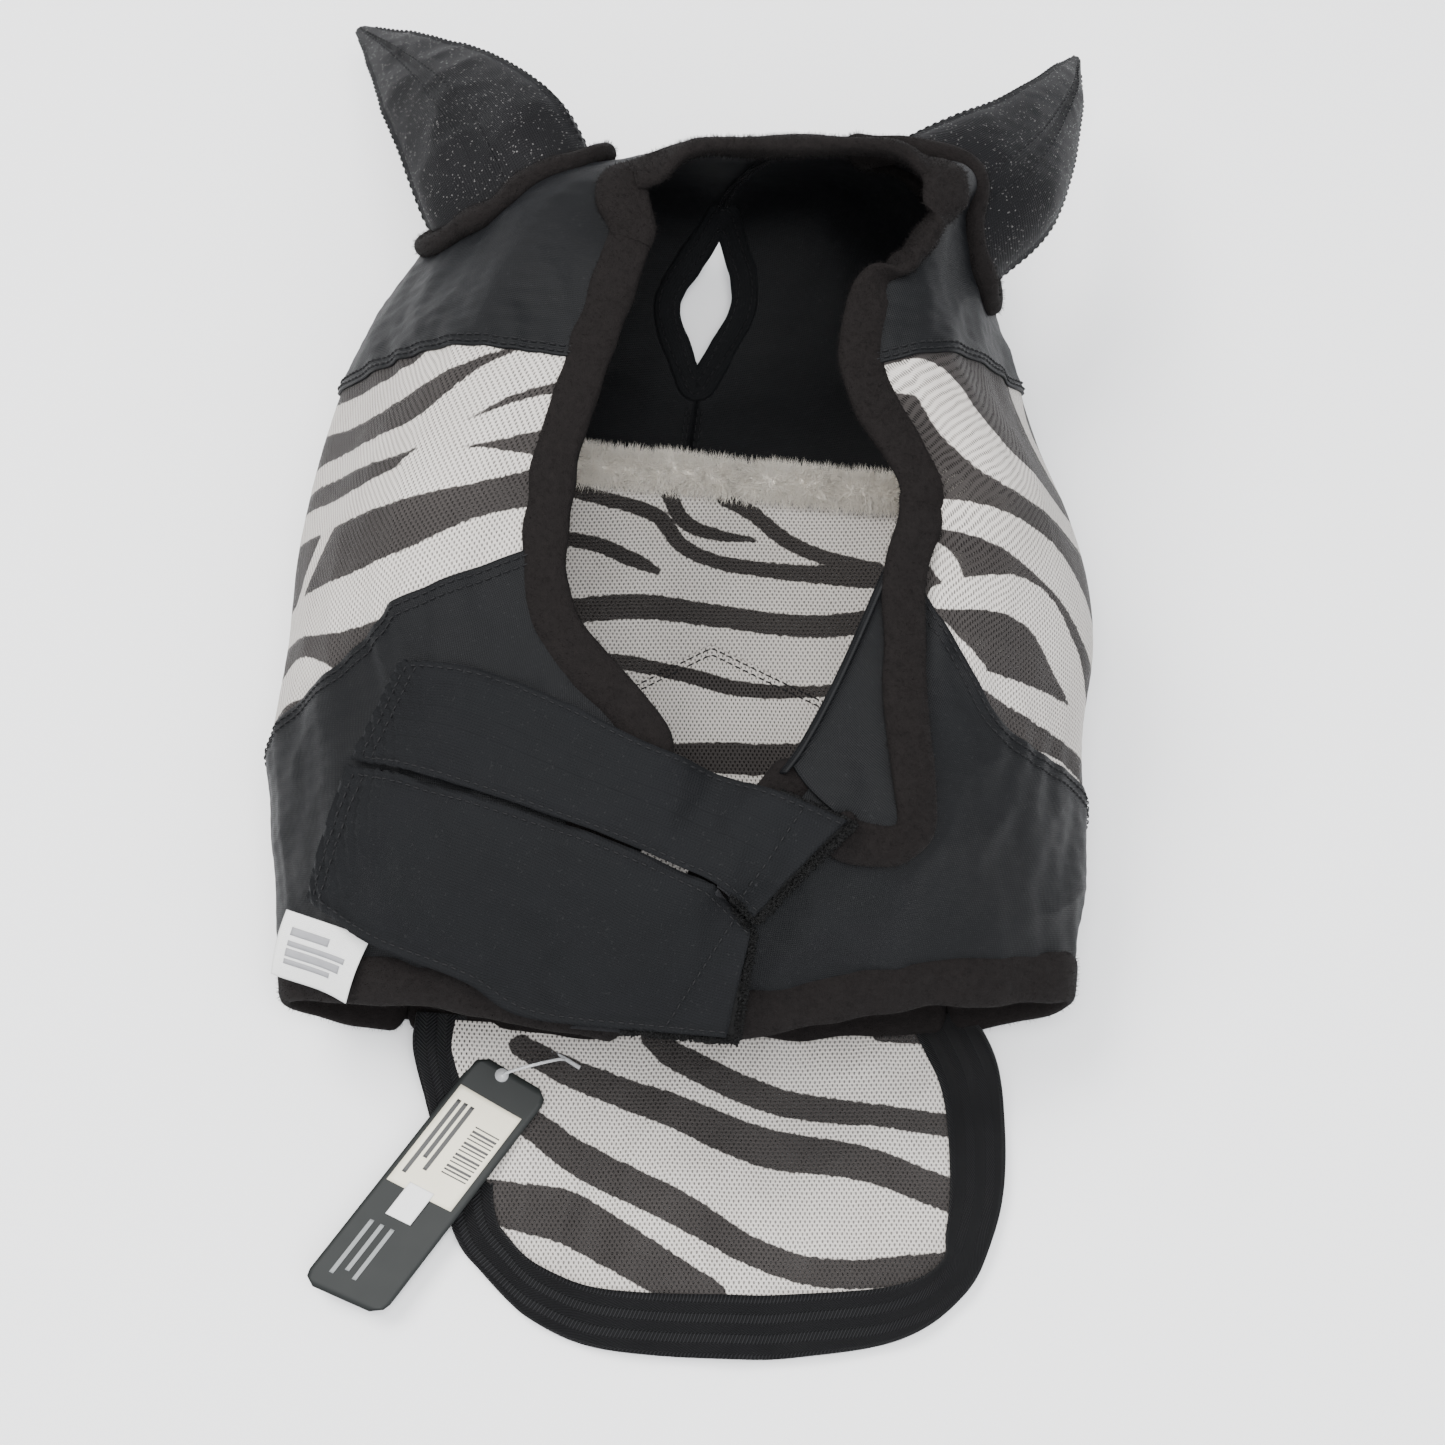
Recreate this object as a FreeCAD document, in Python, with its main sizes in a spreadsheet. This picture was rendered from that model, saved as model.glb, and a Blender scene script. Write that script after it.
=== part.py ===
"""Pony fly mask with ear covers and a nose flap, lying face down with its two jaw straps closed.

Frame: X across the head, Y from the nose towards the ears, Z up from the floor that the face lies on.
The cloth shell follows one surface, at(t, s). t runs along the head over the ribs, from 0 at the muzzle
hem to 9 at the poll edge. s runs round each rib, from -1 at the left rim, over the left wall, the face at
0 and the right wall, to 1 at the right rim. Every cloth panel is a patch of that surface with a thickness.
"""
import FreeCAD, Part
import Sketcher

import math
import os

from FreeCAD import Placement, Rotation, Vector

doc = FreeCAD.newDocument("fly_mask")

# ---------------------------------------------------------------- driving dimensions
SIZES = {
    "cheek_width": 280.0,       # widest part of the shell, across the cheeks
    "shell_length": 290.0,      # from the muzzle hem to the brow, the ribs' length scale
    "jaw_height": 130.0,        # from the face on the floor to the jaw opening's rim
    "cloth_thick": 2.0,
    "binding_thick": 5.0,
    "seam_gap": 0.4,
    "fleece_thick": 8.0,
    "ear_length": 143.0,
    "ear_width": 60.0,
    "ear_depth": 38.0,
    "ear_cloth": 1.8,
    "strap_thick": 2.0,
    "strap_lift": 6.4,          # how far the straps ride above the cheek panels
    "pad_thick": 1.3,
    "flap_left": 98.0,          # nose flap: half widths at the hem and at the free end
    "flap_right": 112.0,
    "flap_end_left": 64.0,
    "flap_end_right": 94.0,
    "flap_top": 138.6,          # distances from the middle of the part, towards the nose
    "flap_bottom": 248.0,
    "flap_corner": 46.0,
    "flap_inner_corner": 28.0,
    "flap_mesh_thick": 1.6,
    "webbing_width": 20.0,
    "webbing_thick": 3.0,
    "lining_thick": 0.8,
    "tag_width": 28.0,
    "tag_length": 98.0,
    "tag_thick": 0.8,
    "tag_corner": 3.0,
    "tag_hole": 2.5,
    "sticker_width": 22.0,
    "sticker_length": 46.0,
    "sticker_thick": 0.3,
    "price_width": 12.0,
    "price_length": 21.0,
    "label_width": 30.0,
    "label_height": 24.0,
    "label_thick": 1.0,
    "filament": 0.8,
}
sheet = doc.addObject("Spreadsheet::Sheet", "sizes")
for row, (alias, value) in enumerate(SIZES.items(), start=1):
    sheet.set(f"A{row}", alias)
    sheet.set(f"B{row}", str(value))
    sheet.setAlias(f"B{row}", alias)
doc.recompute()


def size(alias):
    """A driving dimension, read back from the sheet."""
    return float(sheet.get(alias))


# ---------------------------------------------------------------- the shell's surface
# Each rib, from the muzzle hem to the poll edge: the face's middle (x, y, z) and half width, the widest
# points (y, left x, right x, z), then the left and the right rim of the jaw opening.
RIBS = [
    ((-5, -136, 3), 88, (-132, -137, 128, 38), (-17, -157, 78), (-4, -158, 78)),
    ((-5, -95, 2), 94, (-90, -141, 131, 50), (-14, -112, 113), (-1, -113, 112)),
    ((-5, -50, 2), 96, (-48, -145, 135, 58), (-3, -70, 127), (36, -68, 123)),
    ((-5, -8, 2), 96, (-10, -140, 139, 60), (-37, -26, 131), (61, -18, 130)),
    ((-4, 35, 2), 92, (35, -136, 133, 60), (-38, 22, 134), (72, 18, 132)),
    ((-2, 85, 2), 84, (80, -126, 118, 60), (-28, 58, 137), (54, 55, 136)),
    ((4, 130, 6), 66, (112, -108, 105, 64), (-20, 85, 139), (57, 84, 138)),
    ((9, 172, 28), 46, (136, -84, 96, 82), (-16, 102, 140), (72, 98, 140)),
    ((20, 162, 84), 36, (140, -46, 92, 118), (-15, 112, 141), (80, 110, 141)),
    ((36, 132, 152), 30, (127, -5, 76, 145), (-14, 120, 142), (83, 120, 142)),
]
FACE_EDGE_LIFTS = [6, 6, 6, 6, 6, 6, 6, 4, 2, 0]             # how far the face curls up at its edges
RIB_WIDTH, RIB_LENGTH, RIB_HEIGHT = 280.0, 290.0, 130.0     # what the rows above were drawn for
SHOULDER_OUT, SHOULDER_DROP = 0.55, 0.12                    # where the wall turns in to the rim

scale = Vector(
    size("cheek_width") / RIB_WIDTH,
    size("shell_length") / RIB_LENGTH,
    size("jaw_height") / RIB_HEIGHT,
)


def scaled(x, y, z):
    return Vector(x * scale.x, y * scale.y, z * scale.z)


def rib_points(rib, lift):
    """The nine points of a rib, from the left rim round the face to the right rim."""
    (x, y, z), half, (wide_y, left, right, wide_z), left_rim, right_rim = rib

    def side(rim, wide_x, face_x):
        rim, wide = Vector(*rim), Vector(wide_x, wide_y, wide_z)
        out = rim + (wide - rim) * SHOULDER_OUT
        out.z = rim.z - SHOULDER_DROP * (rim.z - wide.z)
        return [rim, out, wide, Vector(face_x, y, z + lift)]

    points = side(left_rim, left, x - half) + [Vector(x, y, z)] + side(right_rim, right, x + half)[::-1]
    return [scaled(*p) for p in points]


GRID = [rib_points(rib, lift) for rib, lift in zip(RIBS, FACE_EDGE_LIFTS)]
LAST_RIB, LAST_POINT = len(RIBS) - 1, 8


def catmull(points, at):
    """A smooth curve through the points, at a place counted in points."""
    i = min(max(int(math.floor(at)), 0), len(points) - 2)
    f = at - i
    b, c = points[i], points[i + 1]
    a = points[i - 1] if i > 0 else b * 2 - c
    d = points[i + 2] if i + 2 < len(points) else c * 2 - b
    return (b * 2 + (c - a) * f + (a * 2 - b * 5 + c * 4 - d) * f**2 + (b * 3 - a - c * 3 + d) * f**3) * 0.5


def at(t, s, out=0.0):
    """A point of the shell's surface, moved outwards by out."""
    place = catmull([catmull(row, (s + 1) * LAST_POINT / 2) for row in GRID], t)
    if not out:
        return place
    e = 0.01
    t0, t1 = max(t - e, 0), min(t + e, LAST_RIB)
    s0, s1 = max(s - e, -1), min(s + e, 1)
    normal = (at(t1, s) - at(t0, s)).cross(at(t, s1) - at(t, s0))
    return place + normal.normalize() * out


# ---------------------------------------------------------------- solids from grids of points
def evenly(points):
    """A smooth curve through the points, with evenly spaced parameters."""
    curve = Part.BSplineCurve()
    curve.interpolate(Points=list(points), Parameters=[float(i) for i in range(len(points))])
    return curve


def spline_surface(poles, u, v):
    """A surface from its poles, with the knots of the curves u and v."""
    surface = Part.BSplineSurface()
    surface.buildFromPolesMultsKnots(
        poles, u.getMultiplicities(), v.getMultiplicities(), u.getKnots(), v.getKnots(),
        False, False, u.Degree, v.Degree,
    )
    return surface


def surface_through(rows):
    """A smooth surface through a grid of points."""
    along = [evenly(row) for row in rows]
    across = [evenly(column) for column in zip(*[curve.getPoles() for curve in along])]
    poles = [list(line) for line in zip(*[curve.getPoles() for curve in across])]
    return spline_surface(poles, across[0], along[0])


def borders(surface):
    u_low, u_high, v_low, v_high = surface.bounds()
    return [surface.uIso(u_low), surface.uIso(u_high), surface.vIso(v_low), surface.vIso(v_high)]


def wall(edge_a, edge_b):
    """The straight-sided strip between two matching edges."""
    across = Part.BSplineCurve()
    across.buildFromPoles([Vector(0, 0, 0), Vector(0, 0, 1)], False, 1)
    return spline_surface([edge_a.getPoles(), edge_b.getPoles()], across, edge_a).toShape()


def slab(outer, inner):
    """A closed solid between two grids of points."""
    skins = [surface_through(outer), surface_through(inner)]
    walls = [wall(a, b) for a, b in zip(borders(skins[0]), borders(skins[1]))]
    shell = Part.makeShell([skin.toShape() for skin in skins] + walls)
    shell.sewShape()
    solid = Part.makeSolid(shell)
    if solid.Volume < 0:
        solid.reverse()
    return solid


def patch(t_low, t_high, s_low, s_high, out, deep, rows=7, columns=7):
    """A piece of the shell between two places along the head, each a number or a function of s, and two
    round the rib, from out outside the surface to deep inside it."""
    def value(edge, s):
        return edge(s) if callable(edge) else edge

    def grid(offset):
        made = []
        for j in range(columns):
            s = s_low + (s_high - s_low) * j / (columns - 1)
            low, high = value(t_low, s), value(t_high, s)
            made.append([at(low + (high - low) * i / (rows - 1), s, offset) for i in range(rows)])
        return made

    return slab(grid(out), grid(-deep))


def keep(label, shape):
    """A sub-part whose shape is made here."""
    feature = doc.addObject("Part::Feature", label)
    feature.Label = label
    feature.Shape = shape
    return feature


# ---------------------------------------------------------------- seams
def between(knots, s):
    """A smooth curve through (s, t) knots."""
    places = [Vector(k[0], k[1], 0) for k in knots]
    for i in range(len(knots) - 1):
        if s <= knots[i + 1][0] or i == len(knots) - 2:
            low, high = knots[i][0], knots[i + 1][0]
            return catmull(places, i + (s - low) / (high - low)).y


LEFT_CHEEK = [(0.25, 0.6), (0.40, 1.5), (0.50, 2.0), (0.65, 2.5), (0.75, 2.95), (1.0, 3.55)]
RIGHT_CHEEK = [(0.25, 0.5), (0.40, 1.25), (0.50, 1.6), (0.69, 1.95), (0.88, 2.8), (1.0, 3.3)]


def cheek_seam(s):
    """Where the mesh meets the cheek panel: from the rim down to the muzzle at the front of the face."""
    return between(LEFT_CHEEK if s < 0 else RIGHT_CHEEK, abs(s))


def crown_seam(s):
    """Where the mesh meets the crown."""
    return between([(0.0, 5.35), (0.25, 5.4), (0.50, 5.15), (0.75, 5.05), (1.0, 5.15)], abs(s))


half_gap = size("seam_gap") / 2 / 40            # in ribs, which are about 40 mm apart
cloth = size("cloth_thick")
bind_out = 1.5
bind_deep = size("binding_thick") - bind_out
HEM = 0.28                                      # the hem binding's width, in ribs
RIM = 0.94                                      # where the rim bindings start, as s
FACE = 0.25                                     # the face mesh's half width, as s
FOLD_LOW = 1.9                                  # where the right cheek's turned-back edge ends
FOLD_HIGH = 3.3


def poll_seam(s):
    """Where the poll binding starts."""
    return between([(0.0, 8.84), (0.50, 8.72), (0.75, 8.35), (1.0, 7.55)], abs(s))


def crown_top(s):
    """Where the crown panels end, a little short of the poll binding, more so at its corners."""
    return poll_seam(s) - 0.05 - 0.6 * max(0.0, abs(s) - 0.7)


def fold_edge(s):
    """The slanting free edge of the right cheek's turned-back corner."""
    return FOLD_HIGH - 8.7 * (1.0 - s)


def lining_edge(s):
    """The pointed top of the second mesh layer."""
    return 3.45 - 5.0 * abs(s - 0.03)


def brow_edge(s):
    """The nose side of the fleece pad, which lies a little askew."""
    return 4.72 - 0.8 * s


def off(edge, by):
    return lambda s: edge(s) + by


# ---------------------------------------------------------------- the cloth panels
keep("face_mesh_panel", patch(HEM + half_gap, off(crown_seam, -half_gap), 0.004 - FACE, FACE - 0.004, 0, cloth, 11, 9))
for side, name in ((-1, "left"), (1, "right")):
    rim_s, face_s, middle_s = side * (RIM - 0.003), side * FACE, side * 0.004
    keep(f"{name}_eye_mesh",
         patch(off(cheek_seam, half_gap), off(crown_seam, -half_gap), face_s, rim_s, 0, cloth, 13, 15))
    keep(f"{name}_cheek_panel",
         patch(HEM + half_gap, off(cheek_seam, -half_gap), face_s, rim_s, 0, cloth, 9, 15))
    keep(f"muzzle_binding_{name}", patch(0, HEM - half_gap, side * 0.504, side, bind_out, bind_deep, 3, 9))
keep("muzzle_binding_front", patch(0, HEM - half_gap, -0.5, 0.5, bind_out, bind_deep, 3, 15))
keep("rim_binding_left",
     patch(HEM + half_gap, off(poll_seam, -0.02), -1, -RIM, bind_out, bind_deep, 19, 3))
keep("rim_binding_right",
     patch(FOLD_HIGH + 0.02, off(poll_seam, -0.02), RIM, 1, bind_out, bind_deep, 13, 3))
keep("rim_binding_right_low",
     patch(HEM + half_gap, FOLD_LOW - 0.02, RIM, 1, bind_out, bind_deep, 7, 3))
keep("right_cheek_fold", patch(FOLD_LOW, FOLD_HIGH - 0.02, RIM, 1, 0, cloth, 7, 3))
keep("right_turnback",
     patch(FOLD_LOW, off(fold_edge, -0.03), 0.85, 1.0, 3.8, -2.0, 5, 5))
keep("turnback_binding", patch(fold_edge, off(fold_edge, 0.3), 0.845, 1.0, 4.6, -1.9, 3, 7))
poll_deep = bind_deep - 1.5                     # thinner there, because the poll edge bends sharply
keep("poll_binding", patch(poll_seam, 9, -1, 1, bind_out, poll_deep, 3, 31))

lining_out = -cloth - 0.3
keep("nose_lining_mesh",
     patch(HEM + 0.02, lining_edge, -0.21, 0.23, lining_out, size("lining_thick") - lining_out, 5, 12))
fleece_out = -cloth - 0.4
keep("brow_fleece_pad",
     patch(brow_edge, off(brow_edge, 0.42), -0.2, 0.24, fleece_out, size("fleece_thick") - fleece_out, 5, 9))


# ---------------------------------------------------------------- the crown, the ears and the forelock hole
def placement_on(t, s, along):
    """A placement on the shell: Z outwards, X as near as can be to along."""
    origin = at(t, s)
    z = (at(t, s, 10) - origin).normalize()
    x = (along - z * along.dot(z)).normalize()
    return Placement(origin, Rotation(x, z.cross(x), z, "ZXY"))


def oval_prism(half_x, half_y, low, high):
    centre = Vector(0, 0, low)
    if half_x > half_y:
        ellipse = Part.Ellipse(centre + Vector(half_x, 0, 0), centre + Vector(0, half_y, 0), centre)
    else:
        ellipse = Part.Ellipse(centre + Vector(0, half_y, 0), centre - Vector(half_x, 0, 0), centre)
    return Part.Face(Part.Wire(ellipse.toShape())).extrude(Vector(0, 0, high - low))


def diamond_prism(corners, grow, low, high):
    """An upright prism on a diamond, its corners moved outwards by grow."""
    middle = sum((Vector(x, y, 0) for x, y in corners), Vector(0, 0, 0)) * 0.25
    points = []
    for x, y in corners:
        corner = Vector(x, y, 0)
        points.append(corner + (corner - middle).normalize() * grow + Vector(0, 0, low))
    return Part.Face(Part.makePolygon(points + points[:1])).extrude(Vector(0, 0, high - low))


ear_x, ear_y = size("ear_width") / 2, size("ear_depth") / 2
RING_WALL = 2.6
EAR_LENGTH = 143.0                              # what the tips below were set for
EARS = {                                        # place on the shell, width's direction, tip
    "left": (7.6, -0.5, Vector(60, 9, 20), Vector(-127, 244.2, 40)),
    "right": (7.5, 0.5, Vector(-28, 43, 20), Vector(128, 230, 42)),
}
# along the ear: how far, then the half width and the half depth as shares of those at the base
EAR_PROFILE = [(0.0, 1.0, 1.0), (0.3, 1.06, 0.95), (0.6, 0.92, 0.72), (0.85, 0.62, 0.4), (1.0, 0.2, 0.13)]
FORELOCK = [(11, 172), (-7, 147), (1, 121), (17, 150)]
FACING_WIDTH = 9.0


def ear_half(tip, sign):
    """Half of an ear cover, in the ear's own frame: the side of the seam that sign gives."""
    start, knee = Vector(0, 0, 5.8), Vector(0, 0, 50)
    lift = Vector(0, 0.25 * sign, 0)

    def section(w, inset):
        centre = start * (1 - w)**2 + knee * (2 * w * (1 - w)) + tip * w**2
        ahead = ((knee - start) * (1 - w) + (tip - knee) * w).normalize()
        wide = (Vector(1, 0, 0) - ahead * ahead.x).normalize()
        deep = ahead.cross(wide)
        shares = [Vector(b, c, 0) for _, b, c in EAR_PROFILE]
        for i in range(len(EAR_PROFILE) - 1):
            low, high = EAR_PROFILE[i][0], EAR_PROFILE[i + 1][0]
            if w <= high + 1e-9:
                share = catmull(shares, i + (w - low) / (high - low))
                break
        a, b = ear_x * share.x - inset, ear_y * share.y - inset
        angles = [math.pi * k / 8 for k in range(9)]
        return [centre + wide * (a * math.cos(n)) + deep * (sign * b * math.sin(n)) + lift for n in angles]

    steps = [k / 10 for k in range(11)]
    inset = size("ear_cloth")
    return slab([section(w, 0) for w in steps], [section(w, inset) for w in steps])


crown = {}
for side, name in ((-1, "left"), (1, "right")):
    crown[name] = patch(
        off(crown_seam, half_gap), crown_top, side * 0.004, side * (RIM - 0.016), 0, cloth, 13, 15
    )

for name, (t, s, wide, tip) in EARS.items():
    place = placement_on(t, s, wide)
    local_tip = place.inverse().multVec(tip)
    local_tip = local_tip * (size("ear_length") / EAR_LENGTH)
    hole = oval_prism(ear_x + RING_WALL + 0.5, ear_y + RING_WALL + 0.5, -25, 25)
    hole.Placement = place
    crown[name] = crown[name].cut(hole)
    ring = oval_prism(ear_x + RING_WALL, ear_y + RING_WALL, -4.5, 5.2).cut(oval_prism(ear_x, ear_y, -6, 7))
    keep(f"{name}_ear_binding", ring).Placement = place
    up = place.Rotation.multVec(Vector(0, 1, 0)).z > 0
    for half, sign in (("back", 1 if up else -1), ("front", -1 if up else 1)):
        keep(f"{name}_ear_{half}", ear_half(local_tip, sign)).Placement = place

forelock_hole = diamond_prism(FORELOCK, 0, -5, 70)
for name in ("left", "right"):
    solids = crown[name].cut(forelock_hole).Solids
    keep(f"{name}_crown_panel", max(solids, key=lambda solid: solid.Volume))
facing = patch(5.6, 7.5, -0.15, 0.15, -cloth - 0.3, cloth + 1.3, 9, 7)
facing = facing.common(diamond_prism(FORELOCK, FACING_WIDTH, -5, 70)).cut(forelock_hole)
keep("forelock_facing", max(facing.Solids, key=lambda solid: solid.Volume))


# ---------------------------------------------------------------- the jaw straps
UPPER_STRAP = (
    [(-93, -39), (-58, -46), (-15, -68), (12, -78), (53, -94)],
    [(-111, -65), (-77, -78), (-41, -91), (4, -109), (22, -122)],
)
LOWER_STRAP = (
    [(-113, -69), (-77, -84), (-41, -98), (4, -117), (21, -127)],
    [(-127, -106), (-104, -124), (-72, -138), (-48, -150), (16, -156)],
)
JAW_SAMPLES = [at(0.1 * i, side * (0.55 + 0.03 * k)) for i in range(45) for k in range(16) for side in (-1, 1)]


def jaw_height(x, y):
    """The shell's height under a place on the jaw side."""
    near = sorted(JAW_SAMPLES, key=lambda p: (p.x - x)**2 + (p.y - y)**2)[:8]
    weights = [1 / ((p.x - x)**2 + (p.y - y)**2 + 4) for p in near]
    return sum(w * p.z for w, p in zip(weights, near)) / sum(weights)


def strap_piece(strap, u_low, u_high, v_low, v_high, low, high, columns=11, rows=5):
    """A layer of a strap between two places along it and two across, from low to high above the
    strap's underside."""
    rear, front = [[Vector(x, y, 0) for x, y in edge] for edge in strap]
    lift = size("strap_lift")

    def grid(level):
        made = []
        for j in range(columns):
            u = u_low + (u_high - u_low) * j / (columns - 1)
            ramp = min(1.0, 0.2 + 3.2 * u)
            back, fore = catmull(rear, u * 4), catmull(front, u * 4)
            line = []
            for i in range(rows):
                p = back + (fore - back) * (v_low + (v_high - v_low) * i / (rows - 1))
                line.append(Vector(p.x, p.y, jaw_height(p.x, p.y) + lift * ramp + level))
            made.append(line)
        return made

    return slab(grid(high), grid(low))


strap_top = size("strap_thick")
pad = size("pad_thick")
for name, strap in (("upper", UPPER_STRAP), ("lower", LOWER_STRAP)):
    keep(f"{name}_strap", strap_piece(strap, 0, 1, 0, 1, 0, strap_top))
    keep(f"{name}_hook_pad", strap_piece(strap, 0.84, 0.985, 0.08, 0.92, -1.0 - pad, -1.0, 7, 7))
keep("upper_loop_pad", patch(1.05, 1.75, 0.80, RIM - 0.01, 0.4 + pad, -0.4, 5, 4))
keep("lower_loop_pad", patch(0.33, 0.95, 0.84, RIM - 0.01, 0.4 + pad, -0.4, 5, 4))


# ---------------------------------------------------------------- bodies made from sketches
def origin_plane(body, role):
    return next(item for item in body.Origin.OriginFeatures if item.Role == role)


def number(term):
    """A coordinate's value: a list of (factor, alias) terms added up."""
    return sum(factor * size(alias) for factor, alias in term)


def formula(term):
    return " + ".join(f"({factor}) * <<sizes>>.{alias}" for factor, alias in term)


def outline(body, name, corners):
    """A closed sketch on the body's XY plane whose corners are bound to the sheet."""
    sketch = body.newObject("Sketcher::SketchObject", name)
    sketch.AttachmentSupport = [(origin_plane(body, "XY_Plane"), "")]
    sketch.MapMode = "FlatFace"
    points = [Vector(number(x), number(y), 0) for x, y in corners]
    count = len(points)
    for i in range(count):
        sketch.addGeometry(Part.LineSegment(points[i], points[(i + 1) % count]), False)
    for i in range(count):
        sketch.addConstraint(Sketcher.Constraint("Coincident", i, 2, (i + 1) % count, 1))
    for i, (x, y) in enumerate(corners):
        for kind, term, value in (("DistanceX", x, points[i].x), ("DistanceY", y, points[i].y)):
            index = sketch.addConstraint(Sketcher.Constraint(kind, -1, 1, i, 1, value))
            sketch.setExpression(f"Constraints[{index}]", formula(term))
    return sketch


def sketched_body(label, corners, thick):
    """A plate made by padding an outline."""
    body = doc.addObject("PartDesign::Body", label)
    body.Label = label
    plate = body.newObject("PartDesign::Pad", label + "_plate")
    sketch = outline(body, label + "_outline", corners)
    plate.Profile = sketch
    plate.setExpression("Length", f"<<sizes>>.{thick}")
    body.Tip = plate
    sketch.Visibility = False
    return body


def round_corners(body, places, alias):
    """Fillets on the upright edges nearest to the places."""
    doc.recompute()
    base = body.Tip
    names = []
    for x, y in places:
        upright = []
        for i, edge in enumerate(base.Shape.Edges, start=1):
            a, b = edge.Vertexes[0].Point, edge.Vertexes[-1].Point
            if math.hypot(a.x - b.x, a.y - b.y) < 1e-6 and abs(a.z - b.z) > 1e-6:
                upright.append((math.hypot(a.x - x, a.y - y), f"Edge{i}"))
        names.append(min(upright)[1])
    fillet = body.newObject("PartDesign::Fillet", f"{body.Name}_round_{len(body.Group)}")
    fillet.Base = (base, names)
    fillet.setExpression("Radius", f"<<sizes>>.{alias}")
    body.Tip = fillet
    doc.recompute()





# the nose flap: a mesh panel inside a U of webbing
top = [(-1, "flap_top")]
end = [(-1, "flap_bottom")]
webbing_corners = [
    ([(-1, "flap_left")], top),
    ([(-1, "flap_end_left")], end),
    ([(1, "flap_end_right")], end),
    ([(1, "flap_right")], top),
]
webbing = sketched_body("nose_flap_webbing", webbing_corners, "webbing_thick")
inner_end = [(-1, "flap_bottom"), (1, "webbing_width")]
cut_corners = [
    ([(-1, "flap_left"), (1, "webbing_width")], [(-1, "flap_top"), (0.05, "webbing_width")]),
    ([(-1, "flap_end_left"), (0.85, "webbing_width")], inner_end),
    ([(1, "flap_end_right"), (-1, "webbing_width")], inner_end),
    ([(1, "flap_right"), (-1, "webbing_width")], [(-1, "flap_top"), (0.05, "webbing_width")]),
]
window = webbing.newObject("PartDesign::Pocket", "nose_flap_webbing_window")
window.Profile = outline(webbing, "nose_flap_webbing_inside", cut_corners)
window.Type = "ThroughAll"
window.Midplane = True
webbing.Tip = window
outer_ends = [(-size("flap_end_left"), -size("flap_bottom")), (size("flap_end_right"), -size("flap_bottom"))]
inner_ends = [(number(x), number(y)) for x, y in cut_corners[1:3]]
round_corners(webbing, outer_ends, "flap_corner")
round_corners(webbing, inner_ends, "flap_inner_corner")

mesh_corners = [
    (cut_corners[0][0] + [(1, "seam_gap")], top),
    (cut_corners[1][0] + [(1, "seam_gap")], inner_end + [(1, "seam_gap")]),
    (cut_corners[2][0] + [(-1, "seam_gap")], inner_end + [(1, "seam_gap")]),
    (cut_corners[3][0] + [(-1, "seam_gap")], top),
]
flap_mesh = sketched_body("nose_flap_mesh", mesh_corners, "flap_mesh_thick")
round_corners(flap_mesh, [(number(x), number(y)) for x, y in mesh_corners[1:3]], "flap_inner_corner")
flap_mesh.Placement = Placement(Vector(0, 0, 0.7), Rotation())

# the swing tag, lying on the flap's left edge, with its stickers
TAG_ORIGIN, TAG_ALONG = Vector(-65, -154, 4.0), Vector(-58, -78, 0)
tag_place = Placement(TAG_ORIGIN, Rotation(TAG_ALONG.cross(Vector(0, 0, 1)), TAG_ALONG, Vector(0, 0, 1), "ZYX"))


def rectangle(left, right, low, high):
    return [(left, low), (right, low), (right, high), (left, high)]


half_tag = ([(-0.5, "tag_width")], [(0.5, "tag_width")])
card = sketched_body(
    "tag_card", rectangle(*half_tag, [(-0.08, "tag_length")], [(0.92, "tag_length")]), "tag_thick"
)
card_ends = [(x * size("tag_width"), y * size("tag_length")) for x in (-0.5, 0.5) for y in (-0.08, 0.92)]
round_corners(card, card_ends, "tag_corner")
hole_sketch = card.newObject("Sketcher::SketchObject", "tag_card_hole_outline")
hole_sketch.AttachmentSupport = [(origin_plane(card, "XY_Plane"), "")]
hole_sketch.MapMode = "FlatFace"
hole_sketch.addGeometry(Part.Circle(Vector(0, 0, 0), Vector(0, 0, 1), size("tag_hole") / 2), False)
hole_sketch.addConstraint(Sketcher.Constraint("Coincident", 0, 3, -1, 1))
index = hole_sketch.addConstraint(Sketcher.Constraint("Diameter", 0, size("tag_hole")))
hole_sketch.setExpression(f"Constraints[{index}]", "<<sizes>>.tag_hole")
hole_cut = card.newObject("PartDesign::Pocket", "tag_card_hole")
hole_cut.Profile = hole_sketch
hole_cut.Type = "ThroughAll"
hole_cut.Midplane = True
card.Tip = hole_cut
card.Placement = tag_place

half_sticker = ([(-0.5, "sticker_width")], [(0.5, "sticker_width")])
sticker = sketched_body(
    "tag_sticker",
    rectangle(*half_sticker, [(0.06, "tag_length")], [(0.06, "tag_length"), (1, "sticker_length")]),
    "sticker_thick",
)
sticker_ends = [
    (x * size("sticker_width"), 0.06 * size("tag_length") + y * size("sticker_length"))
    for x in (-0.5, 0.5) for y in (0, 1)
]
round_corners(sticker, sticker_ends, "tag_corner")
above_card = Vector(0, 0, size("tag_thick") + 0.1)
sticker.Placement = Placement(TAG_ORIGIN + above_card, tag_place.Rotation)

price = sketched_body(
    "price_sticker",
    rectangle(
        [(-0.5, "tag_width"), (0.1, "tag_width")],
        [(-0.5, "tag_width"), (0.1, "tag_width"), (1, "price_width")],
        [(0.62, "tag_length")],
        [(0.62, "tag_length"), (1, "price_length")],
    ),
    "sticker_thick",
)
price.Placement = Placement(TAG_ORIGIN + above_card, tag_place.Rotation)

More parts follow.
